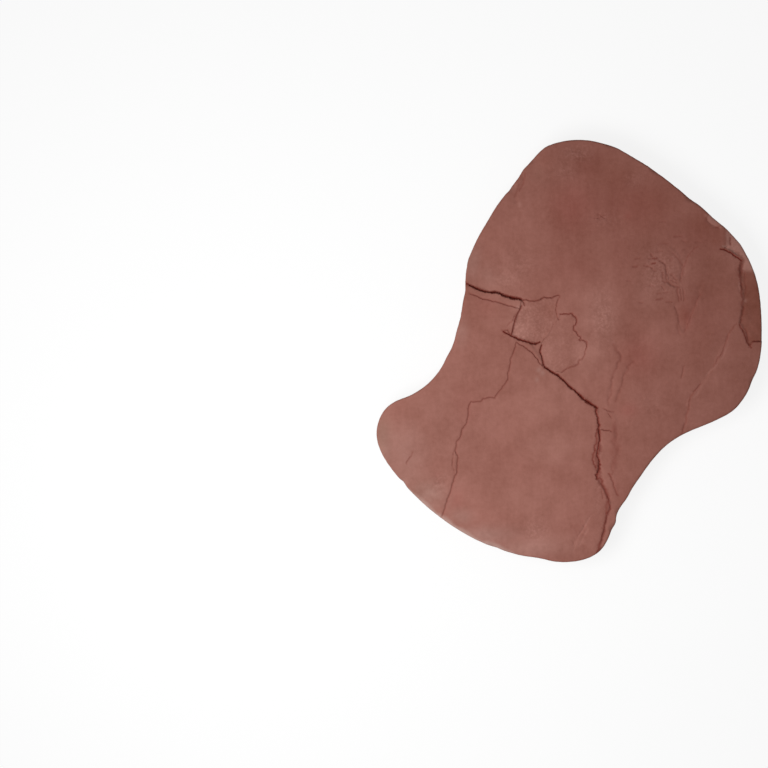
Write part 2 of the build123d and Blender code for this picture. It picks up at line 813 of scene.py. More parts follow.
# Short dashes at the shell-like scars: pixel at each end, opening in millimetres, and strength.
DASHES = (
    ((674, 236.5), (681.7, 236.3), 1.8, 0.36), ((658, 244.6), (668, 243.2), 2.6, 0.22),
    ((655.5, 251.6), (662.5, 251), 2.0, 0.18), ((650.6, 253.8), (652.6, 256.6), 2.4, 0.4),
    ((647.8, 258.8), (653, 258.6), 1.4, 0.3), ((652.6, 258.6), (657, 258.2), 2.2, 0.6),
    ((651.8, 263.8), (655.4, 263), 2.2, 0.75), ((635.4, 258.7), (640, 258.4), 1.8, 0.25),
    ((632.8, 266.9), (637, 266.7), 2.4, 0.42), ((643.8, 265.6), (649, 266.4), 1.8, 0.32),
    ((650.2, 267), (652.4, 268.6), 2.2, 0.3), ((653, 270), (656, 271.4), 1.8, 0.2),
    ((662.4, 272), (663, 279), 1.6, 0.24), ((662.5, 281), (665.5, 282.4), 2.4, 0.3),
    ((669.5, 261), (672, 258), 2.0, 0.22), ((671, 274.5), (676, 279.5), 1.6, 0.22),
    ((670, 280), (677, 283), 1.6, 0.22), ((649, 285.8), (652.6, 285.6), 2.4, 0.2),
    ((661.5, 286), (664.5, 290), 1.8, 0.2), ((657, 293.8), (660.5, 293.4), 2.2, 0.26),
    ((664, 293), (667.5, 292), 2.0, 0.22), ((656.4, 299.8), (662.6, 298.4), 2.0, 0.32),
    ((666, 302), (672, 302), 2.0, 0.25), ((639, 302.6), (643, 302.7), 1.8, 0.24),
    ((682.5, 240.4), (685.8, 242), 2.6, 0.26), ((695.5, 241.8), (699, 241.2), 2.4, 0.24),
    ((683, 249.6), (687, 248.6), 2.4, 0.2), ((626.6, 280.8), (630, 280.8), 2.6, 0.24),
    ((659.5, 221.8), (665.5, 221.6), 1.8, 0.26),
)

# Cracks and hairlines: stations (pixel x, pixel y, opening), depth, strength, seed, jag and paint.
CRACKS = (
    # The open crack right across the stone, from its left edge to its lower end.
    Crack(((455, 279.5, 3.2), (466.7, 283.5, 3.6), (475.5, 287.8, 4.0), (480, 289.7, 3.8),
           (490.5, 292.2, 3.6), (495.7, 291.9, 3.8), (500.8, 293.6, 4.0), (508.9, 296.6, 5.0),
           (515, 298, 5.2), (521, 299, 4.2)), 6.2, 1.0, 11, 0.05),
    Crack(((521, 298.6, 2.8), (524, 300, 2.0), (530.7, 300.8, 1.9), (537.6, 300.2, 2.2), (544, 297, 1.8),
           (552, 297.8, 1.6), (554.8, 295.9, 1.4), (559.5, 295.3, 0.8)), 1.6, 0.5, 12),
    Crack(((521, 298.7, 1.9), (524.5, 305.6, 0.8)), 1.4, 0.5, 13),
    Crack(((521.5, 305.6, 0.8), (518, 312.5, 1.9), (515.2, 319.4, 1.9), (513.2, 326.2, 1.7),
           (511.3, 335, 1.5)), 0.9, 0.72, 14, 0.08),
    Crack(((503, 331.5, 0.9), (511.2, 336, 2.2), (519.2, 339.6, 3.0), (527.2, 341.8, 2.9),
           (535.9, 343.8, 3.3), (540, 342, 1.5)), 3.4, 1.0, 15, 0.08),
    Crack(((541.6, 345, 1.5), (540, 350.4, 2.4), (542.2, 358.4, 2.4),
           (545, 367.4, 3.0)), 1.8, 0.85, 16, 0.08),
    Crack(((545, 367.4, 3.0), (550, 370.8, 3.2), (557.7, 374.8, 3.8), (566.3, 383, 3.6),
           (577.8, 393.6, 3.8), (587, 401, 4.8), (597.4, 408, 4.0)), 4.4, 1.0, 17, 0.06),
    Crack(((585.5, 402.4, 1.0), (588.6, 403.6, 2.4), (592, 405.6, 1.6)), 1.2, 0.8, 91),
    Crack(((597.4, 408, 3.8), (595.8, 411.5, 3.8), (596.4, 413.5, 3.2), (598.4, 417, 3.4),
           (598.4, 422, 3.6), (598.6, 427, 3.6), (599.4, 434, 4.0), (599, 444, 3.4), (598, 447.8, 3.0),
           (597.4, 451.8, 2.8), (598.4, 457.7, 3.2), (599.7, 461.7, 3.8), (599.2, 467.7, 4.8),
           (598, 472.7, 5.4), (596.2, 475.8, 5.0), (597, 479.4, 3.6)), 2.2, 0.88, 18, 0.22),
    Crack(((598.2, 428, 1.4), (596, 437, 2.4), (594.5, 445.8, 3.0),
           (595.4, 450.8, 2.6)), 0.6, 0.72, 19, 0.2),
    Crack(((595.6, 449, 1.8), (593, 455.7, 2.8), (594, 461.7, 2.8), (596, 468, 3.4)), 0.6, 0.72, 92, 0.2),
    # A wide shallow band along the lower crack, darkened on both its sides with painted shade.
    Crack(((598, 426, 5.0), (597.6, 440, 8.0), (596.4, 455, 10.0), (596.8, 468, 9.0), (598.6, 478, 7.0),
           (603, 486, 7.5), (606.4, 493, 8.0), (608, 502, 7.0), (608, 514, 6.0)), 0.4, 0.44, 84, 0.2),
    Crack(((596.6, 479.2, 2.6), (600, 477.8, 3.4), (602.4, 480.6, 4.2), (603, 485.6, 4.8),
           (605.4, 490.6, 5.0), (607.4, 495.5, 4.0), (609, 499, 2.8), (610.4, 506.5, 2.2),
           (609.4, 510.5, 2.2), (606.8, 513.5, 3.2)), 0.8, 0.72, 20, 0.2),
    Crack(((601.2, 487, 0.8), (602, 492, 1.6), (603, 498, 0.9)), 0.3, 0.3, 69),
    Crack(((607, 512.5, 3.4), (606, 521.4, 4.6), (604.4, 527.4, 5.0), (603.4, 533, 5.8),
           (601.6, 538.3, 6.0), (600.6, 543, 6.0), (600, 548.3, 6.0),
           (598.6, 558, 6.0)), 0.7, 0.5, 38, 0.2),
    Crack(((607, 512, 1.6), (606.5, 517, 3.0), (606, 521.4, 3.2), (604.6, 527.4, 2.4), (602.2, 535, 1.8),
           (600.2, 542, 1.8), (599, 549, 2.2), (598, 558, 2.4)), 0.9, 0.7, 70, 0.2),
    # The finer crack that branches off it, down to the lower left edge.
    Crack(((516.5, 342, 0.9), (514, 351, 1.0), (510.5, 358.5, 1.1), (509.4, 369.5, 1.3), (508, 379.5, 1.0),
           (503, 386, 1.1), (499.7, 390.6, 1.1), (494.6, 398, 1.2), (483, 398.6, 1.4), (480.8, 401.5, 1.0),
           (471, 401.4, 1.2), (468.3, 408.4, 1.2), (468, 417, 1.6), (464, 426.7, 1.7), (460.7, 436, 1.7),
           (457, 441, 1.6), (455.3, 449.7, 1.8), (458.3, 457.7, 1.8), (457.7, 465.8, 1.9),
           (454.2, 478.4, 2.3), (451, 491, 2.2), (446.8, 502.5, 2.2), (442.5, 515, 1.8),
           (439.5, 522, 1.4)), 1.2, 0.34, 21),
    Crack(((454.5, 450, 0.5), (452.5, 460, 0.8), (454.5, 474, 0.5)), 0.5, 0.2, 22),
    # Hairlines round the middle.
    Crack(((516.9, 342.3, 0.8), (529.5, 351, 0.9), (537.6, 359, 1.1), (543.5, 367, 0.7)), 1.2, 0.4, 23),
    Crack(((470, 293.5, 0.6), (475.5, 295.6, 1.1), (482.5, 299, 0.9), (490.5, 300.6, 1.1),
           (498, 302.2, 0.9), (505.5, 304.6, 1.2), (516, 307.6, 1.0), (519, 308.5, 0.5)), 1.0, 0.42, 24),
    Crack(((559.5, 297, 0.6), (556.5, 306.5, 0.9), (556, 312, 0.8), (558.8, 319.4, 0.6)), 0.7, 0.35, 25),
    Crack(((560, 314.3, 0.9), (566.3, 313.6, 1.3), (572, 313.4, 1.7), (575.5, 317, 1.7), (576.6, 320, 1.5),
           (575.5, 324.5, 1.0)), 0.9, 0.68, 26, 0.14),
    Crack(((575.5, 324.5, 0.8), (573.7, 330.3, 1.3), (576.6, 332, 1.2), (578, 336, 1.2),
           (580.6, 336.6, 1.2), (579.6, 340.4, 1.3), (582.6, 340, 1.2), (586.4, 341.5, 1.5),
           (585.8, 349.2, 1.2)), 0.8, 0.56, 85, 0.2),
    Crack(((585.8, 349.2, 1.3), (583.5, 356.7, 1.7), (578.3, 364, 1.5), (568.6, 368, 1.3),
           (561.7, 372.7, 1.1)), 0.5, 0.36, 86, 0.16),
    # A small loose corner left of the upper scar.
    Crack(((502.6, 330.3, 0.5), (507.7, 329.8, 0.9), (511.2, 335.4, 0.7)), 0.7, 0.35, 54),
    Crack(((507.7, 325, 0.4), (512.9, 320.5, 0.8), (517, 313, 0.5)), 0.6, 0.3, 55),
    # Strands beside the lower crack.
    Crack(((608.6, 473.5, 1.0), (611.5, 478.5, 2.2), (613.6, 482.5, 2.4), (615.4, 490, 2.2),
           (618, 495.5, 1.0)), 0.5, 0.5, 27, 0.14),
    Crack(((600, 430.3, 1.2), (606, 430.4, 1.1), (612, 431.5, 0.6)), 1.1, 0.4, 28),
    # A wide shallow band on the sliver's right, darkened with painted shade where its step faces away from
    # the light.
    Crack(((615, 422, 1.6), (616.2, 431, 3.6), (614.4, 440, 4.8), (617.6, 449, 4.6), (616, 456, 4.0),
           (613, 463, 3.4), (613.4, 471, 3.0), (611, 477, 1.4)), 0.2, 0.27, 87, 0.3),
    # The short crack across the ledge, and those at its foot.
    Crack(((753.4, 341.6, 1.4), (757, 341.5, 2.0), (768, 341.5, 2.0)), 1.4, 0.8, 29, 0.0),
    Crack(((748.8, 347.6, 0.8), (751.2, 344.6, 1.1), (753.4, 341.6, 1.2)), 0.4, 0.4, 97, 0.0),
    Crack(((739.4, 324.5, 1.8), (743.1, 331, 2.2), (745.9, 337.4, 2.0), (749.5, 345.6, 1.9),
           (751.2, 347.4, 1.2)), 0.5, 0.72, 30),
    Crack(((745, 328.5, 1.2), (747.7, 334.6, 2.2), (748.6, 340.5, 1.2)), 0.3, 0.4, 57),
    # The broken layer's edge along the ledge's brink, darkened with painted shadow and painted shade, a
    # thinner layer below it, a painted highlight, and a notch in its facet.
    # Painted shadow: the dark line where the top layer's edge shades the facet.
    Crack(((720.4, 249, 1.4), (727.5, 251.1, 1.9), (732.6, 253.9, 2.4), (736.7, 257.1, 2.6),
           (741.5, 260.6, 2.6)), 1.0, 1.0, 66, 0.1),
    # Painted shade down the break's face, in two pieces, where it turns away from the light.
    Crack(((741.6, 260.5, 4.5), (741.6, 267, 8.0), (741.2, 272, 6.6), (740, 276.5, 4.4), (740.6, 282, 3.2),
           (741.4, 290, 3.0), (742, 297, 2.0)), 0.4, 0.5, 67, 0.28),
    Crack(((742, 295, 2.0), (742.2, 302, 3.8), (742, 311, 4.0), (741, 321, 3.0),
           (739.6, 325, 2.0)), 0.3, 0.42, 96, 0.28),
    Crack(((745, 271, 0.9), (745, 283, 1.5), (745, 296, 0.9)), 0.1, 0.26, 68),
    Crack(((722.5, 245.8, 1.2), (727.5, 248, 2.2), (732.5, 250.4, 2.6),
           (737, 254.2, 1.4)), 0.1, 0.36, 100, 0.2, Paint.PALE),
    # Painted highlight along the lit edge of the brink.
    Crack(((738.2, 278, 0.8), (738.8, 285, 1.6), (740.4, 292, 1.0)), 0.1, 0.3, 101, 0.2, Paint.FRESH_AND_HIGHLIGHT),
    Crack(((706.5, 218.4, 0.8), (710.5, 223.6, 1.6), (715, 226.6, 1.6), (719, 228.4, 0.8)), 0.3, 0.34, 102),
    Crack(((730.6, 237.6, 0.8), (730.1, 241, 2.0), (730.8, 244.4, 0.8)), 0.3, 0.6, 93),
    # A scratch near the toe.
    Crack(((412.5, 452.5, 0.6), (409.5, 458, 0.9), (406.5, 464, 0.8)), 0.5, 0.3, 31),
    # Shallow grooves where plates of the top layer meet, over the right-hand part.
    Crack(((656.4, 258.2, 1.6), (661.6, 261.9, 2.0), (664.5, 264.4, 2.2), (665.9, 267.6, 2.2),
           (666.2, 272.2, 2.2), (666.2, 277.9, 2.2), (666.5, 281.9, 2.2), (670.8, 284.2, 2.4),
           (674.8, 286.5, 2.2), (678.8, 287.4, 1.8)), 0.4, 0.3, 32, 0.18),
    Crack(((672.5, 252.7, 1.8), (677.1, 257.3, 2.8), (680.6, 262.4, 3.4), (682.8, 267.6, 3.8),
           (682.8, 272.2, 4.0), (681.1, 276.2, 4.2), (680.6, 281, 2.4)), 0.4, 0.27, 33, 0.16),
    Crack(((697.8, 246.4, 1.6), (693.2, 249.8, 2.4), (690.3, 252.7, 2.6), (686.9, 257.8, 2.6),
           (685.7, 261.9, 2.8), (684, 266.4, 2.0)), 0.4, 0.3, 34),
    Crack(((677.5, 288.5, 1.0), (678, 295, 1.6), (679, 301, 1.0)), 0.3, 0.32, 58),
    Crack(((680.6, 289, 0.9), (680.8, 294, 1.4), (681.6, 300, 0.9)), 0.3, 0.22, 94),
    Crack(((683.4, 289, 0.9), (683.8, 295, 1.4), (684, 301, 0.9)), 0.3, 0.22, 95),
    Crack(((700.7, 293.9, 1.4), (696, 305, 2.2), (690.6, 315.5, 2.4), (687.6, 324, 2.2),
           (684.8, 331, 1.0)), 0.4, 0.3, 35),
    Crack(((674.7, 307, 1.4), (677.8, 315, 2.4), (678.2, 329, 2.2),
           (680.6, 334.6, 1.4)), 0.2, 0.17, 59, 0.16),
    Crack(((736.6, 323.8, 1.2), (731.4, 329.8, 1.8), (728.2, 335, 2.0), (726.2, 341.3, 2.2),
           (724.2, 347, 2.0), (722.2, 353.3, 1.6), (719.6, 357, 0.8)), 0.5, 0.3, 36),
    Crack(((718.6, 356.5, 0.8), (716.4, 362, 2.2), (713.6, 366.6, 1.2)), 0.5, 0.24, 60),
    Crack(((700.5, 384, 0.8), (698.7, 386.4, 1.6), (696, 389.5, 1.0)), 0.5, 0.24, 37),
    Crack(((696.5, 389, 0.8), (693.9, 391.8, 2.0), (690.4, 396.4, 1.8), (689, 402, 1.8), (688.6, 409, 2.0),
           (686, 417.5, 2.0), (683.3, 428.2, 1.8), (681, 434.6, 1.4)), 0.5, 0.34, 61),
    Crack(((684, 366, 0.8), (682.5, 373.5, 1.6), (681, 378.5, 0.7)), 0.4, 0.22, 39),
    Crack(((613.2, 344, 2.2), (616.4, 350.5, 3.6), (620.6, 355.8, 4.4), (620.6, 360, 3.6),
           (616.8, 363.6, 3.0), (618, 366.5, 2.8), (615.6, 369.4, 3.0), (612.6, 374.2, 3.2),
           (611.1, 380, 3.2), (611.6, 386.2, 3.2), (611.2, 391.4, 3.2), (609.7, 397.8, 2.8),
           (608.4, 404.4, 1.6)), 0.4, 0.22, 62, 0.2),
    Crack(((633.6, 361.4, 3.2), (627.9, 366.6, 3.6), (624.7, 374, 2.8), (623.2, 380, 2.4),
           (621.5, 385.4, 3.0), (620.2, 392.4, 3.2), (617.7, 397.8, 3.0),
           (615.6, 402, 1.6)), 0.3, 0.18, 63, 0.2),
    # Pale bits along the lowest of those grooves.
    Crack(((717, 364.6, 1.0), (713.4, 369, 2.0), (709.6, 372, 2.0),
           (706, 375.6, 1.0)), 0.1, 0.24, 103, 0.2, Paint.FRESH_AND_HIGHLIGHT),
    Crack(((727.6, 344, 0.9), (725, 351, 1.6), (721.4, 358.6, 0.9)), 0.1, 0.2, 104, 0.14, Paint.FRESH_AND_HIGHLIGHT),
    Crack(((702.6, 384.6, 0.9), (698.4, 390.6, 1.8),
           (693.8, 397.4, 0.9)), 0.1, 0.24, 105, 0.14, Paint.FRESH_AND_HIGHLIGHT),
    # Pale scratches near the lower end.
    Crack(((591, 516, 0.8), (585, 526, 1.6), (579, 536, 1.6),
           (573, 546, 0.8)), 0.15, 0.36, 88, 0.06, Paint.FRESH_AND_HIGHLIGHT),
    Crack(((582, 530, 0.8), (577, 541, 1.5), (573, 551, 0.9)), 0.15, 0.36, 89, 0.06, Paint.FRESH_AND_HIGHLIGHT),
    Crack(((588, 529, 0.8), (583, 538, 1.4), (578, 548, 0.8)), 0.15, 0.28, 90, 0.06, Paint.FRESH_AND_HIGHLIGHT),
    # The fold near the upper left edge.
    Crack(((525, 172.5, 1.0), (523.8, 180, 2.0), (521.5, 187, 2.0), (519.5, 191, 1.0)), 0.3, 0.26, 98),
    Crack(((519.5, 184, 0.9), (517.5, 190, 1.6), (514.5, 197, 0.9)), 0.2, 0.18, 99),
    # Two short hairlines near the top.
    Crack(((594, 218.5, 0.5), (599, 218, 0.9), (606, 215, 0.6)), 0.5, 0.3, 40),
    Crack(((598, 214, 0.5), (603, 217.5, 0.8), (608, 220, 0.5)), 0.4, 0.25, 50),
    # Short hatching at the head of the sliver.
    Crack(((603.5, 408.5, 0.6), (608, 411, 1.2), (614, 411.7, 0.6)), 0.7, 0.26, 51),
    Crack(((608, 413, 0.7), (610.5, 416, 1.1), (611.5, 418.5, 0.5)), 0.6, 0.22, 52),
    # The short dashes.
    *(Crack.dash(number, *dash) for number, dash in enumerate(DASHES)),
)

# Low steps in the top layer: stations, lower side, drop, fade, riser, seed, jag and ends.
STEPS = (
    # The upper right part has sunk a little along the open crack.
    Step(((455, 279.5), (490.5, 292.5), (521, 298.5), (511, 335), (529, 342), (544.5, 366.5), (566, 382.5),
          (597.5, 408), (599, 446), (596.5, 478.5), (609.5, 503), (602.5, 532.5),
          (597.5, 558)), Side.LEFT, 1.2, 45, 2.2, 2, 0.02, 0.04),
    # The sliver between the lower crack and the strand on its right.
    Step(((606, 405), (612, 414), (613.5, 433), (616, 449), (612.5, 463), (610, 476), (615.5, 490),
          (619, 503)), Side.LEFT, 0.7, 18, 5.0, 41, 0.2),
    Step(((604, 338), (612.5, 343), (620, 355.5), (616, 364.5), (611, 379),
          (607.5, 404)), Side.LEFT, 0.8, 14, 2.4, 42),
    Step(((634, 360), (627, 366.5), (621, 386), (615, 403)), Side.LEFT, 0.7, 14, 2.2, 43),
    # A fold near the upper left edge.
    Step(((526.5, 168), (525, 177), (521, 189), (516, 206)), Side.RIGHT, 1.1, 16, 1.8, 53),
    # Shell-like scars, and the plates that they lie between.
    Step(((645, 262), (656, 257), (664, 264.5), (666, 274), (666, 283), (677.5, 287.5),
          (684, 290)), Side.LEFT, 0.9, 12, 1.8, 44, 0.2),
    Step(((668, 246), (675.5, 253), (682, 264), (683, 271), (680.5, 279)), Side.LEFT, 0.8, 9, 2.4, 45),
    Step(((706, 240), (698, 246), (690, 253.5), (685.5, 261.5), (683.5, 271),
          (680, 282)), Side.RIGHT, 1.0, 14, 2.4, 46),
    Step(((705, 282), (701.5, 291), (696, 306), (691, 315.5), (687.5, 324),
          (684, 334)), Side.RIGHT, 1.0, 18, 2.2, 47),
    Step(((672, 302), (676, 312), (678, 325), (681, 334)), Side.LEFT, 0.8, 12, 2.4, 48),
    Step(((740, 318), (731, 331), (726, 343), (716, 363), (702, 384), (690.5, 398), (688.5, 412),
          (682, 434)), Side.RIGHT, 1.0, 22, 2.2, 49),
    # Scratches near the lower end.
    Step(((591, 517), (587, 526), (581, 534), (575, 546)), Side.RIGHT, 0.5, 5, 1.6, 64, 0.16),
    Step(((582, 530), (577, 541), (573, 551)), Side.RIGHT, 0.45, 5, 1.6, 65, 0.16),
)

# Rough places, covered in small dents: middle, half width and half height, count and seed.
CHATTERS = tuple(Chatter(*row) for row in (
    ((664, 274), (24, 24), 16, 71), ((512, 268), (26, 18), 20, 73), ((526, 322), (12, 18), 16, 74),
    ((546, 334), (8, 12), 10, 81), ((582, 534), (12, 16), 36, 75), ((648, 402), (16, 16), 30, 76),
    ((439, 480), (8, 12), 34, 77), ((578, 152), (18, 8), 16, 78), ((603, 218), (14, 7), 8, 79),
    ((424, 500), (22, 14), 40, 80), ((596, 455), (5, 30), 40, 83),
))

# Scars where flakes have lifted off, in the middle of the face.
FLAKES = (
    Flake(((521, 298.5), (532, 301), (537.5, 300.5), (544, 297), (558.5, 295.5), (556, 311), (558, 318.5),
           (551, 330), (541, 343), (529, 342), (519.5, 340), (510.5, 335.5), (516, 317), (520, 308)),
          depth=1.3, shallow=0.3, deep_end=(-0.8, -0.6), grit=0.85, riser=1.3, seed=3),
    Flake(((560.5, 314.5), (572, 313.5), (576, 318.5), (573.5, 330.5), (580, 339), (586.5, 341.5),
           (585, 353), (578, 364.5), (561.5, 373), (553, 372.5), (544.5, 366.5), (540, 350), (541, 343),
           (551, 330), (558, 318.5)),
          depth=1.0, shallow=0.35, deep_end=(-0.8, -0.6), grit=0.45, riser=0.7, seed=5),
)

# The ledge along the right-hand edge: its brink from the top down, then the corners beyond the edge.
LEDGE = Ledge(
    ((720, 222), (722, 232), (722, 244), (720.5, 249), (728.5, 252), (735, 255.5), (741, 260.5),
     (738.7, 264), (738.7, 275.5), (739, 284), (741, 293), (741.5, 303.5), (740, 312), (738, 322),
     (741.6, 331.5), (745.4, 341), (748.5, 347.5)),
    ((753.1, 341.3), (757, 341.2), (790, 341.2), (790, 219)),
    drop=1.3, facet_until=0.17, fresh_until=271.0,
)

# The worn edge at the lower left.
WORN_EDGE = WornEdge(start=(398, 476.5), end=(534, 558.5), slope=0.24)

# Chips along the rim: middle, half length, width, depth, strength and paint.
CHIPS = tuple(EdgeChip(*row) for row in (
    ((713.5, 220.5), 12, 10, 0.9, 1.0, Paint.FRESH_AND_HIGHLIGHT), ((403, 482), 7, 6, 4, 0.3),
    ((512, 187), 9, 6, 2.6, 0.1), ((489, 220), 10, 4, 1.6, 0.1), ((533, 159), 9, 5, 2.0),
    ((690, 198), 10, 5, 1.8), ((753, 381), 10, 4, 1.8), ((618, 510), 8, 5, 2.2), ((613, 528), 8, 5, 2.4),
    ((452, 347), 9, 4, 1.6), ((462, 303), 8, 4, 1.8), ((610, 144), 9, 4, 1.4), ((655, 171), 10, 4, 1.6),
    ((493, 547), 9, 4, 1.6, 0.5),
))

# Small bulges and dents of the outline, clockwise from the top: middle, half length and push.
NUDGES = tuple(Nudge(*row) for row in (
    ((602, 143), 14, -0.8), ((632, 156), 24, -1.9), ((690, 198), 12, -1.0), ((714, 219), 20, -2.0),
    ((740, 245), 10, 0.8), ((752, 380), 12, -1.4), ((734, 409), 16, 1.1), ((660, 451), 28, 1.6),
    ((627, 498), 12, 1.5), ((613, 523), 7, 2.2), ((540, 558), 16, -1.7), ((497, 548), 8, -0.8),
    ((404, 482), 5, -1.2), ((408, 396), 14, -1.2), ((446, 357), 10, 0.9), ((457, 330), 12, 1.2),
    ((464, 289), 12, -1.7), ((469, 260), 14, 1.4), ((486, 223), 20, -1.6), ((509, 190), 5, -0.8),
    ((524, 170), 9, 1.4), ((546, 147), 10, 0.8),
))

# Soft patches of colour and roughness: middle, half width and half height, strength.
PATCHES = {
    Paint.PALE: (
        # Paler towards the lower left edge and the left waist.
        ((442, 430), (80, 110), 0.11), ((404, 455), (38, 48), 0.3), ((424, 497), (32, 24), 0.32),
        ((482, 536), (46, 13), 0.42), ((525, 548), (44, 12), 0.32), ((473, 262), (10, 24), 0.27),
        ((461, 332), (10, 20), 0.24), ((461, 517), (16, 12), 0.34), ((487, 276), (14, 16), 0.16),
        # Pale specks.
        ((539, 370), (3.2, 3.0), 0.5), ((542.5, 373), (3.0, 3.4), 0.45), ((537, 379.5), (2.4, 3.6), 0.4),
        ((517.5, 307.5), (2.0, 1.6), 0.5),
    ),
    Paint.FRESH_AND_HIGHLIGHT: (
        # Brighter in the middle and along the lower edge.
        ((553, 392), (44, 86), 0.33), ((553, 446), (40, 28), 0.52), ((500, 288), (28, 40), 0.3),
        ((520, 327), (16, 18), 0.66), ((550, 346), (22, 22), 0.42), ((588, 354), (24, 30), 0.5),
        ((541, 542), (52, 15), 0.46), ((598, 318), (24, 38), 0.42), ((517, 312), (16, 26), 0.34),
        ((646, 294), (16, 20), 0.2), ((522, 502), (58, 36), 0.38), ((415, 440), (36, 44), 0.1),
        # Specks of freshly broken stone.
        ((519.5, 204.5), (2.2, 4), 0.5), ((745.5, 300.5), (1.8, 2), 0.9), ((720.7, 227.3), (1.6, 1.4), 0.9),
        ((706, 215.4), (1.6, 1.6), 0.8),
    ),
    Paint.DIRT_AND_SHADE: (
        # Darker towards the upper right: partly grime, partly painted shade where the lamp's light falls off.
        ((634, 204), (54, 40), 0.28), ((590, 163), (26, 24), 0.17), ((572, 268), (40, 26), 0.15),
        ((622, 246), (24, 44), 0.13), ((694, 232), (44, 28), 0.18), ((706, 316), (32, 40), 0.13),
        # Painted shade: the soft dark band on the sliver's right, where its low step faces away from the
        # light.
        ((614.5, 429), (3.5, 9), 0.33), ((614.5, 440), (5, 7), 0.28), ((617, 449), (4, 8), 0.36),
        ((612.5, 452), (3, 6), 0.24), ((614.4, 463), (3.5, 8), 0.32), ((616.5, 488), (4, 9), 0.17),
        # Painted shade beside the lower crack, and in the corner below the ledge.
        ((600.5, 491), (5, 9), 0.12), ((735, 347), (10, 13), 0.09),
        # Inside the V-shaped mark on the right.
        ((694, 302), (5, 12), 0.2), ((687, 318), (5, 12), 0.2),
    ),
    Paint.UMBER_AND_SHADE: (
        # Darker towards the upper right: browner stone, and painted shade where the lamp's light falls off.
        ((616, 172), (34, 30), 0.46), ((543, 162), (16, 14), 0.45), ((648, 206), (42, 32), 0.55),
        ((702, 222), (24, 24), 0.4), ((716, 238), (8, 12), 0.6), ((724, 292), (18, 46), 0.3),
        ((706, 344), (30, 44), 0.26), ((617, 396), (13, 18), 0.22), ((684, 316), (7, 15), 0.5),
        ((550, 311), (9, 12), 0.42),
    ),
    Paint.ROSE: (
        # Redder patches.
        ((572, 206), (28, 34), 0.9), ((640, 356), (22, 26), 0.8), ((686, 316), (8, 17), 0.9),
        ((628, 410), (12, 9), 0.9), ((488, 306), (14, 12), 0.6), ((466, 405), (20, 26), 0.4),
        ((456, 498), (9, 12), 0.8),
        # A red spot near the top.
        ((628, 216), (4, 5), 0.9),
    ),
    Paint.TAWNY: (
        # Tan toe and top corner.
        ((382, 437), (11, 32), 0.7), ((538, 170), (9, 12), 0.15), ((424, 494), (26, 20), 0.35),
    ),
    Paint.GRIT: (
        # Gritty places.
        ((578, 153), (18, 10), 0.85), ((564, 170), (18, 14), 0.5), ((634, 180), (14, 12), 0.4),
        ((734, 248), (9, 15), 0.7), ((606, 218), (20, 10), 0.45), ((520, 268), (26, 28), 0.4),
        ((506, 280), (14, 10), 0.7), ((603, 316), (16, 34), 0.8), ((598, 470), (6, 60), 0.5),
        ((660, 272), (24, 30), 0.7), ((440, 484), (10, 14), 0.6), ((650, 405), (18, 18), 0.35),
        ((537, 530), (18, 18), 0.6),
    ),
}
STAINS = tuple(Stain(paint, *patch) for paint, patches in PATCHES.items() for patch in patches)


class NodeKit:
    """Short calls for the few kinds of node that the finishes use."""

    def __init__(self, tree: bpy.types.NodeTree) -> None:
        """Start with an empty node tree."""
        tree.nodes.clear()
        self.tree = tree

    def node(self, kind: str, **settings: object) -> bpy.types.Node:
        """Add a node.

        Args:
            kind: The node's type.
            **settings: Values of its own properties.

        Returns:
            The node.
        """
        made = self.tree.nodes.new(kind)
        for name, value in settings.items():
            setattr(made, name, value)
        return made

    def feed(self, node: bpy.types.Node, **values: object) -> bpy.types.NodeSocket | None:
        """Link a node's inputs to other nodes' outputs, or set their values.

        Args:
            node: The node.
            **values: An output or a value for each input, under the input's name with _ for a space.

        Returns:
            The node's first output, or None where it has none.
        """
        for name, value in values.items():
            self.join(node.inputs[name.replace("_", " ")], value)
        return node.outputs[0] if node.outputs else None

    def join(self, socket: bpy.types.NodeSocket, value: object) -> None:
        """Link one input to an output, or set its value.

        Args:
            socket: The input.
            value: An output or a value.
        """
        if isinstance(value, bpy.types.NodeSocket):
            self.tree.links.new(value, socket)
        else:
            socket.default_value = value

    def math(self, operation: str, first: object, second: object) -> bpy.types.NodeSocket:
        """Work out a number from two others.

        Args:
            operation: Name of the operation.
            first: A number or an output.
            second: A number or an output.

        Returns:
            The result.
        """
        made = self.node("ShaderNodeMath", operation=operation)
        self.join(made.inputs[0], first)
        self.join(made.inputs[1], second)
        return made.outputs[0]

    def total(self, parts: Sequence[tuple[bpy.types.NodeSocket, float]]) -> bpy.types.NodeSocket:
        """Add up outputs.

        Args:
            parts: Each output, and how much of it is taken.

        Returns:
            The sum.
        """
        scaled = [self.math("MULTIPLY", output, share) for output, share in parts]
        result = scaled[0]
        for part in scaled[1:]:
            result = self.math("ADD", result, part)
        return result

    def mix(self, share: object, first: object, second: object) -> bpy.types.NodeSocket:
        """Mix two colours.

        Args:
            share: How much of the second one, from 0 to 1.
            first: A colour or an output.
            second: A colour or an output.

        Returns:
            The mixed colour.
        """
        made = self.node("ShaderNodeMix", data_type="RGBA")
        sockets = {socket.identifier: socket for socket in made.inputs}
        self.join(sockets["Factor_Float"], share)
        self.join(sockets["A_Color"], first)
        self.join(sockets["B_Color"], second)
        return next(socket for socket in made.outputs if socket.identifier == "Result_Color")

    def painted(self, paint: Paint) -> bpy.types.NodeSocket:
        """Strength of a paint on the mesh."""
        return self.node("ShaderNodeAttribute", attribute_name=paint.value).outputs["Fac"]


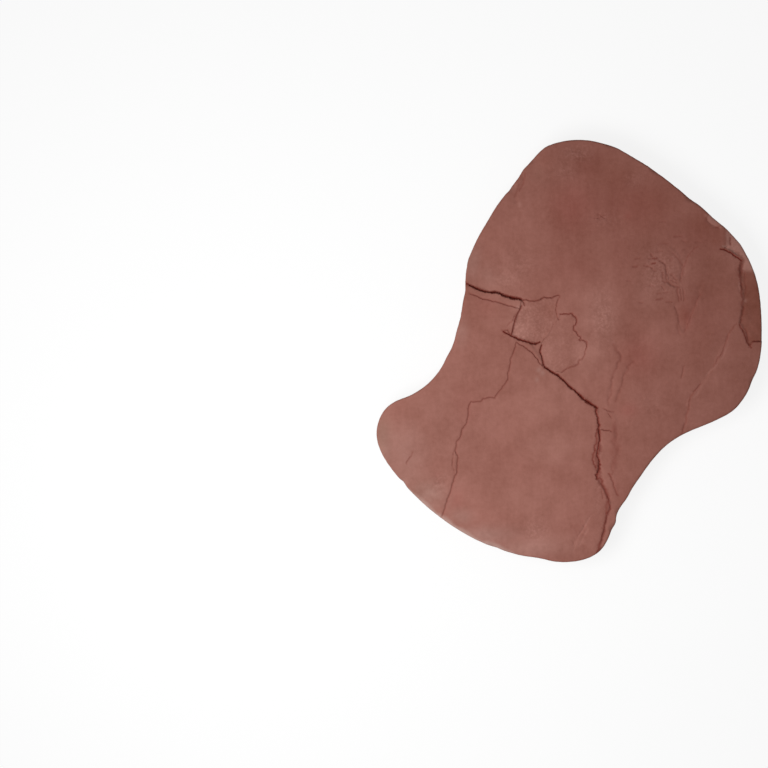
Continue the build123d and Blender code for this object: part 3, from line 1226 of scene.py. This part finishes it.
@dataclass(frozen=True)
class Pattern:
    """A soft random pattern.

    Attributes:
        size: Width of its patches, in millimetres.
        detail: How many finer layers it has.
        rough: How strong those are.
        stretch: How much longer its patches are along x, y and z.
    """

    size: float
    detail: float
    rough: float
    stretch: Sequence[float] = (1.0, 1.0, 1.0)

    def made(self, kit: NodeKit, where: bpy.types.NodeSocket) -> bpy.types.NodeSocket:
        """Build the pattern.

        Args:
            kit: Where its nodes go.
            where: Places, in metres.

        Returns:
            A value about its middle, from -0.5 to 0.5.
        """
        scale = kit.node("ShaderNodeVectorMath", operation="MULTIPLY")
        kit.join(scale.inputs[0], where)
        kit.join(scale.inputs[1], tuple(1.0 / (self.size * MM * length) for length in self.stretch))
        soft = kit.node("ShaderNodeTexNoise", noise_dimensions="3D")
        value = kit.feed(soft, Vector=scale.outputs[0], Scale=1.0, Detail=self.detail, Roughness=self.rough)
        return kit.math("SUBTRACT", value, 0.5)


@dataclass(frozen=True)
class Coat:
    """A tint that is laid over the stone.

    Attributes:
        paint: Where it lies.
        colour: Its colour, linear.
        cover: How much of it shows where it is strongest.
    """

    paint: Paint
    colour: Colour
    cover: float


@dataclass(frozen=True)
class StoneFinish:
    """Split red-brown stone: soft patches, fine streaks and grain, dark cracks and pale worn edges.

    Attributes:
        brown: Colour of the bare stone, linear.
        coats: The tints, in the order in which they are laid.
        dirt_and_shade: Colour of the grime and painted shade in the cracks and other darker places, linear.
        dust: How much the patterns change each part of the colour.
        patches: Broad soft patches.
        mottle: Smaller ones.
        speckle: Fine speckle.
        streaks: Streaks along the stone.
        grain: Sandy grain, which gritty places show.
        grain_floor: Lowest value of the grain, so that gritty places have no dark dots.
        tones: How strongly patches, mottle, speckle, streaks and gritty grain change the tone.
        heights: How high mottle, speckle, grain and gritty grain stand.
        broken: How unevenly the mottle breaks the coats.
        roughness: Roughness of the surface.
        shine: Strength of its gloss.
        relief: How far the bump is shown.
        grain_height: Height of the bump.
    """

    brown: Colour = (0.268, 0.102, 0.078, 1.0)
    coats: Sequence[Coat] = (
        Coat(Paint.ROSE, (0.272, 0.090, 0.070, 1.0), 0.9),
        Coat(Paint.TAWNY, (0.265, 0.142, 0.106, 1.0), 0.8),
        Coat(Paint.GRIT, (0.400, 0.250, 0.215, 1.0), 0.10),
        Coat(Paint.UMBER_AND_SHADE, (0.240, 0.080, 0.056, 1.0), 0.85),
        Coat(Paint.PALE, (0.400, 0.250, 0.215, 1.0), 0.85),
        Coat(Paint.FRESH_AND_HIGHLIGHT, (0.400, 0.185, 0.150, 1.0), 0.85),
    )
    dirt_and_shade: Colour = (0.150, 0.018, 0.010, 1.0)
    dust: Colour = (0.160, 0.085, 0.075)
    patches: Pattern = Pattern(60, 3.0, 0.55)
    mottle: Pattern = Pattern(16, 4.0, 0.5)
    speckle: Pattern = Pattern(5, 3.0, 0.6)
    streaks: Pattern = Pattern(6, 3.0, 0.5, (1.0, 8.0, 1.0))
    grain: Pattern = Pattern(3.2, 3.0, 0.6)
    grain_floor: float = -0.07
    tones: Sequence[float] = (0.9, 0.36, 0.42, 0.2, 2.5)
    heights: Sequence[float] = (2.0, 1.0, 1.0, 4.0)
    broken: float = 0.8
    roughness: float = 0.88
    shine: float = 0.2
    relief: float = 0.6
    grain_height: float = 0.25 * MM

    def material(self) -> bpy.types.Material:
        """Build the finish.

        Returns:
            The stone's material.
        """
        made = bpy.data.materials.new("cleft_stone")
        made.use_nodes = True
        kit = NodeKit(made.node_tree)
        where = kit.node("ShaderNodeTexCoord").outputs["Object"]
        patterns = (self.patches, self.mottle, self.speckle, self.streaks, self.grain)
        patches, mottle, speckle, streaks, grain = [pattern.made(kit, where) for pattern in patterns]
        sandy = kit.math("MAXIMUM", grain, self.grain_floor)
        coarse = kit.math("MULTIPLY", sandy, kit.painted(Paint.GRIT))
        tone = kit.total(tuple(zip((patches, mottle, speckle, streaks, coarse), self.tones)))
        colour = self.brown
        broken = kit.math("ADD", 1.0, kit.math("MULTIPLY", mottle, self.broken))
        for coat in self.coats:
            share = kit.math("MULTIPLY", kit.math("MULTIPLY", kit.painted(coat.paint), broken), coat.cover)
            colour = kit.mix(share, colour, coat.colour)
        dusted = kit.node("ShaderNodeVectorMath", operation="MULTIPLY_ADD")
        for socket, value in zip(dusted.inputs, (self.dust, tone, colour)):
            kit.join(socket, value)
        # The grime and painted-shade colour is laid last, over the cracks and darker places.
        colour = kit.mix(kit.painted(Paint.DIRT_AND_SHADE), dusted.outputs[0], self.dirt_and_shade)
        height = kit.total(tuple(zip((mottle, speckle, grain, coarse), self.heights)))
        bump = kit.node("ShaderNodeBump")
        bumped = kit.feed(bump, Strength=self.relief, Distance=self.grain_height, Height=height)
        shader = kit.node("ShaderNodeBsdfPrincipled")
        surface = kit.feed(shader, Base_Color=colour, Roughness=self.roughness,
                           Specular_IOR_Level=self.shine, Normal=bumped)
        kit.feed(kit.node("ShaderNodeOutputMaterial"), Surface=surface)
        return made


@dataclass
class Skin:
    """Corners of the stone's mesh, gathered block by block from the walking face down to the bed.

    Attributes:
        corners: Blocks of rows of x, y and z.
        tints: Strength of each paint in each block.
        rows: For each block, the numbers of the corners that stand round the stone.
        count: How many corners there are.
    """

    corners: list[np.ndarray] = field(default_factory=list)
    tints: list[dict[Paint, np.ndarray]] = field(default_factory=list)
    rows: list[np.ndarray] = field(default_factory=list)
    count: int = 0

    def add(self, corners: np.ndarray, tint: dict[Paint, np.ndarray], row: np.ndarray) -> None:
        """Add a block.

        Args:
            corners: Its rows of x, y and z.
            tint: Strength of each paint at each of them.
            row: Which of them stand round the stone, in order.
        """
        self.corners.append(corners)
        self.tints.append(tint)
        self.rows.append(row + self.count)
        self.count += len(corners)


@dataclass
class CleftSlab:
    """The whole stone as one closed mesh: walking face, rounded rim, split sides and bed.

    Attributes:
        plan: Where pixels lie on the stone.
        finish: What it is made of.
        net: Spacing of the walking face's net.
        bed_net: Spacing of the bed's net.
        swell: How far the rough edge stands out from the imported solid's smooth one.
        side_step: Spacing of the upright lines of the sides.
        wall_rows: Rows of points down the sides.
        rim: How far in from the outline, and how far below the face, the rim's rows lie, in millimetres.
        bed_rim: The same for the lower rim, above the bed.
        sharp: Angle, in degrees, from which an edge shows as sharp.
    """

    plan: PhotoPlan
    finish: StoneFinish
    net: float = 1.9 * MM
    bed_net: float = 6.0 * MM
    swell: float = 0.6 * MM
    side_step: float = 2.3 * MM
    wall_rows: int = 19
    rim: Sequence[Pair] = (
        (3.2, 0.0), (2.1, 0.08), (1.3, 0.3), (0.7, 0.75), (0.3, 1.4), (0.07, 2.3), (0.0, 3.4),
    )
    bed_rim: Sequence[Pair] = ((0.0, 3.2), (0.4, 1.7), (1.3, 0.6), (3.0, 0.0))
    sharp: float = 48.0

    def outline(self) -> np.ndarray:
        """Read the stone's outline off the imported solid's sides.

        The outline is star-shaped about its middle, so its corners are put in order by their bearing.

        Returns:
            Rows of x and y, anticlockwise, close together.
        """
        low_band = 8 * MM
        high_band = 26 * MM
        apart = 3 * MM
        pieces = 30
        corners = np.array([vertex.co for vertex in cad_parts[NODE].data.vertices])
        sides = corners[(corners[:, 2] > low_band) & (corners[:, 2] < high_band), :2]
        sides = sides[np.argsort(np.arctan2(sides[:, 1], sides[:, 0]))]
        kept = [sides[0]]
        for corner in sides[1:]:
            if np.linalg.norm(corner - kept[-1]) > apart:
                kept.append(corner)
        ring = np.array(kept)
        runs = np.roll(ring, -1, axis=0) - ring
        length = np.linalg.norm(runs, axis=1)[:, None]
        length_before = np.roll(length, 1, axis=0)
        heading = np.roll(runs / length, 1, axis=0) * length + runs / length * length_before
        heading /= length + length_before
        leave = (heading * length)[:, None]
        arrive = (np.roll(heading, -1, axis=0) * length)[:, None]
        runs = runs[:, None]
        share = np.linspace(0.0, 1.0, pieces, endpoint=False)[None, :, None]
        curve = ring[:, None] + leave * share + (3 * runs - 2 * leave - arrive) * share**2
        curve += (leave + arrive - 2 * runs) * share**3
        outline = curve.reshape(-1, 2)
        push = self.swell + sum(nudge.along(outline, self.plan) for nudge in NUDGES)
        return outline + self.outward(outline) * push[:, None]

    @staticmethod
    def outward(ring: np.ndarray) -> np.ndarray:
        """Tell which way a closed anticlockwise ring faces.

        Args:
            ring: Rows of x and y.

        Returns:
            The direction at each of them.
        """
        heading = np.roll(ring, -1, axis=0) - np.roll(ring, 1, axis=0)
        heading /= np.linalg.norm(heading, axis=1)[:, None]
        return np.column_stack([heading[:, 1], -heading[:, 0]])

    def stations(self, outline: np.ndarray) -> np.ndarray:
        """Choose where the upright lines of the sides stand, close together where a crack comes out.

        Args:
            outline: The fine outline.

        Returns:
            Rows of x and y along the outline.
        """
        close_step = 0.8 * MM
        about = 6 * MM
        ends = np.array([crack.route(self.plan).line[end, :2] for crack in CRACKS for end in (0, -1)])
        outside = ends[~within(ends, outline)]
        mouths = tree_of(outline[[np.linalg.norm(outline - end, axis=1).argmin() for end in outside]])
        wanted = np.where(distances(outline, mouths) < about, close_step, self.side_step)
        chosen = [0]
        walked = 0.0
        lengths = np.linalg.norm(np.diff(outline, axis=0), axis=1)
        for number, length in enumerate(lengths, start=1):
            walked += length
            if walked >= wanted[number]:
                chosen.append(number)
                walked = 0.0
        return outline[chosen]

    def face_at(self, spots: np.ndarray, edge: np.ndarray) -> FaceField:
        """Press every mark of the walking face into a set of spots.

        Args:
            spots: Rows of x and y.
            edge: How far inside the outline each spot lies.

        Returns:
            Their drops and tints.
        """
        swell_height = 0.45 * MM
        swell_level = 0.5
        swells = Lumps(120, 2, 3.1)
        roll_height = 0.16 * MM
        rolls = Lumps((34, 42, 34), 2, 8.4)
        ripple_height = 0.10 * MM
        ripples = Lumps((9, 13, 9), 4, 5.7)
        plate_height = 0.3 * MM
        plate_levels = 3.0
        plates = Lumps((7, 9, 7), 3, 27.1)
        face = FaceField(self.plan, spots, edge)
        flat = upright(spots)
        face.drop += swell_height * (swell_level - swells.at(flat))
        face.drop += roll_height * rolls.at(flat)
        face.drop += ripple_height * ripples.at(flat)
        for mark in (*STEPS, *FLAKES, LEDGE, WORN_EDGE, *CHIPS, *CHATTERS, *CRACKS, *STAINS):
            mark.press(face)
        level = np.round(plates.at(flat) * plate_levels)
        face.drop += plate_height * face.tint[Paint.GRIT] * level / plate_levels
        return face

    def net_spots(self, ring: np.ndarray) -> tuple[np.ndarray, list[tuple[int, int]]]:
        """Lay out the walking face's net inside its ring.

        Args:
            ring: The net's outer edge.

        Returns:
            The spots, ring first, and the pairs of spots that the net has to join.
        """
        from_ring = 0.7 * MM
        row_gap = 0.45 * MM
        line_gap = row_gap * 0.8
        grid_gap = 0.95 * MM
        edge_tree = tree_of(ring)
        spots = [ring]
        joined = []
        beside = []
        count = len(ring)
        for mark in (*CRACKS, *STEPS, *FLAKES, LEDGE):
            line, rows = mark.net(self.plan)
            held = within(line, ring) & (distances(line, edge_tree) > from_ring)
            numbers = np.cumsum(held) - 1 + count
            pairs = np.flatnonzero(held[:-1] & held[1:])
            joined += [(int(numbers[pair]), int(numbers[pair + 1])) for pair in pairs]
            spots.append(line[held])
            count += int(held.sum())
            beside += rows
        rows = np.vstack(beside)
        rows = rows[np.unique(np.round(rows / row_gap), axis=0, return_index=True)[1]]
        rows = rows[distances(rows, tree_of(np.vstack(spots))) > line_gap]
        spots.append(rows)
        grid = self.grid(ring, self.net)
        grid = grid[distances(grid, tree_of(np.vstack(spots))) > grid_gap]
        spots.append(grid)
        every = np.vstack(spots)
        kept = within(every, ring) & (distances(every, edge_tree) > from_ring)
        kept[:count] = True
        return every[kept], joined

    def grid(self, ring: np.ndarray, spacing: float) -> np.ndarray:
        """Lay out a shaken triangular grid that covers a ring.

        Args:
            ring: What it covers.
            spacing: Distance between its spots.

        Returns:
            Rows of x and y.
        """
        shake = 0.3
        seed = 7
        chance = np.random.default_rng(seed)
        low = ring.min(axis=0)
        high = ring.max(axis=0)
        across = np.arange(low[0], high[0], spacing)
        along = np.arange(low[1], high[1], spacing * math.sqrt(3) / 2)
        x, y = np.meshgrid(across, along)
        x[1::2] += spacing / 2
        grid = np.column_stack([x.ravel(), y.ravel()])
        return grid + chance.uniform(-shake, shake, grid.shape) * spacing

    @staticmethod
    def filled(
        spots: np.ndarray, joined: list[tuple[int, int]], ring: int
    ) -> tuple[np.ndarray, np.ndarray, np.ndarray]:
        """Fill a ring with triangles.

        Args:
            spots: Rows of x and y, ring first.
            joined: Pairs of spots that have to share an edge.
            ring: How many spots the ring has.

        Returns:
            The spots used, the triangles between them, and the ring's own numbers among them.
        """
        keep_inside = 1
        merge = 1e-7
        tell_origins = True
        plan_spots = [Vector(spot) for spot in spots]
        around = [list(range(ring))]
        made = delaunay_2d_cdt(plan_spots, joined, around, keep_inside, merge, tell_origins)
        places = np.array(made[0])
        triangles = np.array(made[2])
        triangles = triangles[within(places[triangles].mean(axis=1), spots[:ring])]
        used = np.unique(triangles)
        number = np.full(len(places), -1)
        number[used] = np.arange(len(used))
        of_ring = np.full(ring, -1)
        for place, origins in enumerate(made[3]):
            for origin in origins:
                if origin < ring:
                    of_ring[origin] = number[place]
        return places[used], number[triangles], of_ring

    def build(self) -> bpy.types.Object:
        """Build the stone.

        Returns:
            The stone's object, with its tints as attributes.
        """
        outline = self.outline()
        ring = self.stations(outline)
        outward = self.outward(ring)
        skin = Skin()
        cap_faces = self.add_face(skin, ring, outward, outline)
        self.add_sides(skin, ring, outward)
        bed_faces = self.add_bed(skin, ring, outward)
        corners = np.vstack(skin.corners)
        self.roughen(corners, np.array(skin.rows[1:-1]), outward)
        faces = [*map(tuple, cap_faces.tolist())]
        for upper, lower in zip(skin.rows, skin.rows[1:]):
            quads = np.column_stack([lower, np.roll(lower, -1), np.roll(upper, -1), upper])
            faces += map(tuple, quads.tolist())
        faces += map(tuple, bed_faces.tolist())
        mesh = bpy.data.meshes.new(PIECE)
        mesh.from_pydata(corners.tolist(), [], faces)
        for paint in Paint:
            layer = mesh.attributes.new(paint.value, "FLOAT", "POINT")
            strength = np.concatenate([tint[paint] for tint in skin.tints])
            layer.data.foreach_set("value", strength.astype(np.float32))
        mesh.polygons.foreach_set("use_smooth", np.ones(len(mesh.polygons), bool))
        mesh.set_sharp_from_angle(angle=math.radians(self.sharp))
        stone = bpy.data.objects.new(PIECE, mesh)
        bpy.context.scene.collection.objects.link(stone)
        return stone

    def add_face(self, skin: Skin, ring: np.ndarray, outward: np.ndarray, outline: np.ndarray) -> np.ndarray:
        """Add the walking face and the rounded rim round it.

        Args:
            skin: Where they are added.
            ring: Where the upright lines of the sides stand.
            outward: Which way each of them faces.
            outline: The fine outline.

        Returns:
            The walking face's triangles.
        """
        rim_spread = 0.4
        rim_lumps = Lumps(60, 2, 21.3)
        rim_shade = 0.8
        softness = 1.0 + rim_spread * rim_lumps.at(upright(ring))
        rim = [(inset * MM * softness, below * MM * softness) for inset, below in self.rim]
        whole = rim[0][0]
        spots, joined = self.net_spots(ring - outward * whole[:, None])
        cap, cap_faces, cap_ring = self.filled(spots, joined, len(ring))
        face = self.face_at(cap, distances(cap, tree_of(outline)))
        corners = upright(cap, self.plan.top)
        corners[:, 2] -= face.drop + face.cut
        skin.add(corners, face.tint, cap_ring)
        for inset, below in rim[1:]:
            place = ring - outward * inset[:, None]
            face = self.face_at(place, inset)
            brow = self.plan.top - face.drop - face.cut - below
            bare = (1.0 - face.tint[Paint.PALE]) * (1.0 - face.tint[Paint.FRESH_AND_HIGHLIGHT])
            everywhere = np.arange(len(ring))
            # Painted shade along the rounded rim, darkest at the outline, except where the rim is pale or
            # fresh.
            face.stain(Paint.UMBER_AND_SHADE, everywhere, rim_shade * rise(1.0 - inset / whole) * bare)
            skin.add(np.column_stack([place, brow]), face.tint, everywhere)
        return cap_faces

    def add_sides(self, skin: Skin, ring: np.ndarray, outward: np.ndarray) -> None:
        """Add the rows of the sides and of the lower rim, with their layers' colours.

        Args:
            skin: Where they are added, which ends with the rim's lowest row.
            ring: Where the upright lines of the sides stand.
            outward: Which way each of them faces.
        """
        contrast = 1.6
        bias = 0.6
        umber_share = 0.15
        fresh_share = 0.08
        dirt_and_shade_fade = 0.4
        fade = 0.75
        layers = Lumps((90, 90, 4.5), 3, 6.6)
        brow = skin.corners[-1][:, 2]
        foot = self.bed_rim[0][1] * MM
        steps = range(1, self.wall_rows)
        walls = [(0.0, foot + (brow - foot) * (1.0 - step / self.wall_rows)) for step in steps]
        low_rim = [(inset * MM, above * MM) for inset, above in self.bed_rim[:-1]]
        for inset, height in [*walls, *low_rim]:
            corners = np.column_stack([ring - outward * inset, np.broadcast_to(height, len(ring))])
            bands = contrast * layers.at(corners)
            above = skin.tints[-1]
            # The sides carry the rim's tints down and fade them, so their upper rows keep the rim's painted
            # shade.
            tint = {paint: above[paint] * (dirt_and_shade_fade if paint is Paint.DIRT_AND_SHADE else fade) for paint in Paint}
            tint[Paint.UMBER_AND_SHADE] = tint[Paint.UMBER_AND_SHADE] + umber_share * np.clip(bias + bands, 0.0, 1.0)
            tint[Paint.FRESH_AND_HIGHLIGHT] = tint[Paint.FRESH_AND_HIGHLIGHT] + fresh_share * np.clip(-bands, 0.0, 1.0)
            skin.add(corners, tint, np.arange(len(ring)))

    def add_bed(self, skin: Skin, ring: np.ndarray, outward: np.ndarray) -> np.ndarray:
        """Add the bed face, slightly hollowed.

        Args:
            skin: Where it is added.
            ring: Where the upright lines of the sides stand.
            outward: Which way each of them faces.

        Returns:
            The bed's triangles.
        """
        hollows = Lumps(70, 5, 15.1)
        hollow_depth = 1.3 * MM
        level_band = 12 * MM
        bed_ring = ring - outward * (self.bed_rim[-1][0] * MM)
        edge_tree = tree_of(bed_ring)
        spots = self.grid(bed_ring, self.bed_net)
        spots = spots[within(spots, bed_ring) & (distances(spots, edge_tree) > self.bed_net / 2)]
        bed, bed_faces, bed_numbers = self.filled(np.vstack([bed_ring, spots]), [], len(ring))
        hollow = np.clip(hollows.at(upright(bed)), 0.0, 1.0)
        level = rise(distances(bed, edge_tree) / level_band)
        bed_faces = bed_faces[:, ::-1] + skin.count
        bare = {paint: np.zeros(len(bed)) for paint in Paint}
        skin.add(np.column_stack([bed, hollow_depth * hollow * level]), bare, bed_numbers)
        return bed_faces

    def roughen(self, corners: np.ndarray, rows: np.ndarray, outward: np.ndarray) -> None:
        """Break the sides into uneven layers, as split stone has.

        Args:
            corners: Every corner of the mesh, changed in place.
            rows: The corners of each row of the sides, from the top down.
            outward: Which way each upright line faces.
        """
        top_band = 7 * MM
        foot_band = 9 * MM
        foot_share = 0.3
        layering = Lumps((80, 80, 5.5), 2, 2.2)
        levels = 2.5
        stepped = 0.8
        shelf_level = 0.4
        shelf_spread = 0.5
        shelf_depth = 3.4 * MM
        scooping = Lumps((30, 30, 16), 3, 17.9)
        scoop_bias = 0.2
        scoop_depth = 2.2 * MM
        fineness = Lumps((6, 6, 3.5), 3, 9.3)
        fine_height = 0.45 * MM
        fine_share = 0.4
        brow = corners[rows[len(self.rim) - 2], 2]
        for row in rows:
            spots = corners[row]
            below = rise((brow - spots[:, 2]) / top_band)
            above = foot_share + (1.0 - foot_share) * rise(spots[:, 2] / foot_band)
            layers = layering.at(spots)
            broken = stepped * np.round(layers * levels) / levels + (1.0 - stepped) * layers
            shelves = shelf_level + shelf_spread * broken
            scoops = np.clip(scoop_bias + scooping.at(spots), 0.0, 1.0)
            fine = fine_height * fineness.at(spots)
            push = fine * (fine_share + (1.0 - fine_share) * below)
            push -= (shelf_depth * shelves + scoop_depth * scoops) * below * above
            corners[row, :2] += outward * push[:, None]

    def dress(self, stone: bpy.types.Object) -> None:
        """Give the stone its finish and its place in the frame.

        Args:
            stone: The stone's object.
        """
        stone.data.materials.append(self.finish.material())
        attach(stone, BODY)
        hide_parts(NODE)


@dataclass
class Studio:
    """Pale floor, soft light from the lower left and a camera straight above.

    Attributes:
        plan: Where pixels lie on the stone.
        floor_side: Length of the floor's sides.
        camera_rise: How far the camera stands above the walking face.
        sensor: Width of the camera's sensor, in millimetres.
        lamp_at: Where the soft lamp hangs.
        lamp_side: Length of its sides.
        lamp_power: Its power, in watts.
        sky: Strength of the even light from all round.
        floor_tone: Grey value of the floor.
        floor_glow: How much of what the camera sees of the floor is plain white, which keeps its shadow soft.
    """

    plan: PhotoPlan
    floor_side: float = 24.0
    camera_rise: float = 3.6
    sensor: float = 36.0
    lamp_at: Sequence[float] = (-0.50, -0.22, 0.88)
    lamp_side: float = 0.6
    lamp_power: float = 9.3
    sky: float = 0.26
    floor_tone: float = 0.92
    floor_glow: float = 0.86

    def build(self) -> None:
        """Set up the floor, the light and the camera."""
        self.floor()
        self.light()
        self.camera()
        bpy.context.scene.view_settings.view_transform = "Standard"

    @staticmethod
    def seen(kit: NodeKit) -> bpy.types.NodeSocket:
        """Tell what the camera sees, straight or in a gloss or through glass, from other light.

        Args:
            kit: Where the nodes go.

        Returns:
            1 for what the camera sees, and 0 for other light.
        """
        path = kit.node("ShaderNodeLightPath").outputs
        either = kit.math("MAXIMUM", path["Is Camera Ray"], path["Is Glossy Ray"])
        return kit.math("MAXIMUM", either, path["Is Transmission Ray"])

    def floor(self) -> None:
        """Lay the pale floor under the bed face."""
        half = self.floor_side / 2
        corners = [(-half, -half, 0), (half, -half, 0), (half, half, 0), (-half, half, 0)]
        mesh = bpy.data.meshes.new("floor")
        mesh.from_pydata(corners, [], [(0, 1, 2, 3)])
        floor = bpy.data.objects.new("floor", mesh)
        bpy.context.scene.collection.objects.link(floor)
        material = bpy.data.materials.new("pale_floor")
        material.use_nodes = True
        kit = NodeKit(material.node_tree)
        grey = (self.floor_tone, self.floor_tone, self.floor_tone, 1.0)
        matt = kit.feed(kit.node("ShaderNodeBsdfDiffuse"), Color=grey)
        white = kit.node("ShaderNodeEmission").outputs[0]
        both = kit.node("ShaderNodeMixShader")
        glow = kit.math("MULTIPLY", self.seen(kit), self.floor_glow)
        for socket, value in zip(both.inputs, (glow, matt, white)):
            kit.join(socket, value)
        kit.feed(kit.node("ShaderNodeOutputMaterial"), Surface=both.outputs[0])
        mesh.materials.append(material)

    def light(self) -> None:
        """Hang the soft lamp and light the surroundings evenly."""
        lamp = bpy.data.lights.new("soft_lamp", "AREA")
        lamp.shape = "SQUARE"
        lamp.size = self.lamp_side
        lamp.energy = self.lamp_power
        hung = bpy.data.objects.new("soft_lamp", lamp)
        hung.location = self.lamp_at
        hung.rotation_euler = (-Vector(self.lamp_at)).to_track_quat("-Z", "Y").to_euler()
        bpy.context.scene.collection.objects.link(hung)
        world = bpy.data.worlds.new("studio")
        world.use_nodes = True
        kit = NodeKit(world.node_tree)
        strength = kit.math("MAXIMUM", self.seen(kit), self.sky)
        white = (1.0, 1.0, 1.0, 1.0)
        around = kit.feed(kit.node("ShaderNodeBackground"), Color=white, Strength=strength)
        kit.feed(kit.node("ShaderNodeOutputWorld"), Surface=around)
        bpy.context.scene.world = world

    def camera(self) -> None:
        """Hang the camera over the middle of the photograph's frame, looking straight down."""
        middle = self.plan.place([(self.plan.side / 2, self.plan.side / 2)])[0]
        lens = bpy.data.cameras.new("camera")
        lens.sensor_width = self.sensor
        lens.lens = self.sensor * self.camera_rise / (self.plan.side * self.plan.pixel)
        held = bpy.data.objects.new("camera", lens)
        held.location = (middle[0], middle[1], self.plan.top + self.camera_rise)
        bpy.context.scene.collection.objects.link(held)
        bpy.context.scene.camera = held


def main() -> None:
    logging.basicConfig(level=logging.INFO, format="%(message)s")
    plan = PhotoPlan(*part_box(NODE))
    slab = CleftSlab(plan, StoneFinish())
    stone = slab.build()
    slab.dress(stone)
    triangles = sum(len(face.vertices) - 2 for face in stone.data.polygons)
    log.info("%s: %d corners, %d triangles", stone.name, len(stone.data.vertices), triangles)
    Studio(plan).build()


if __name__ == "__main__":
    main()
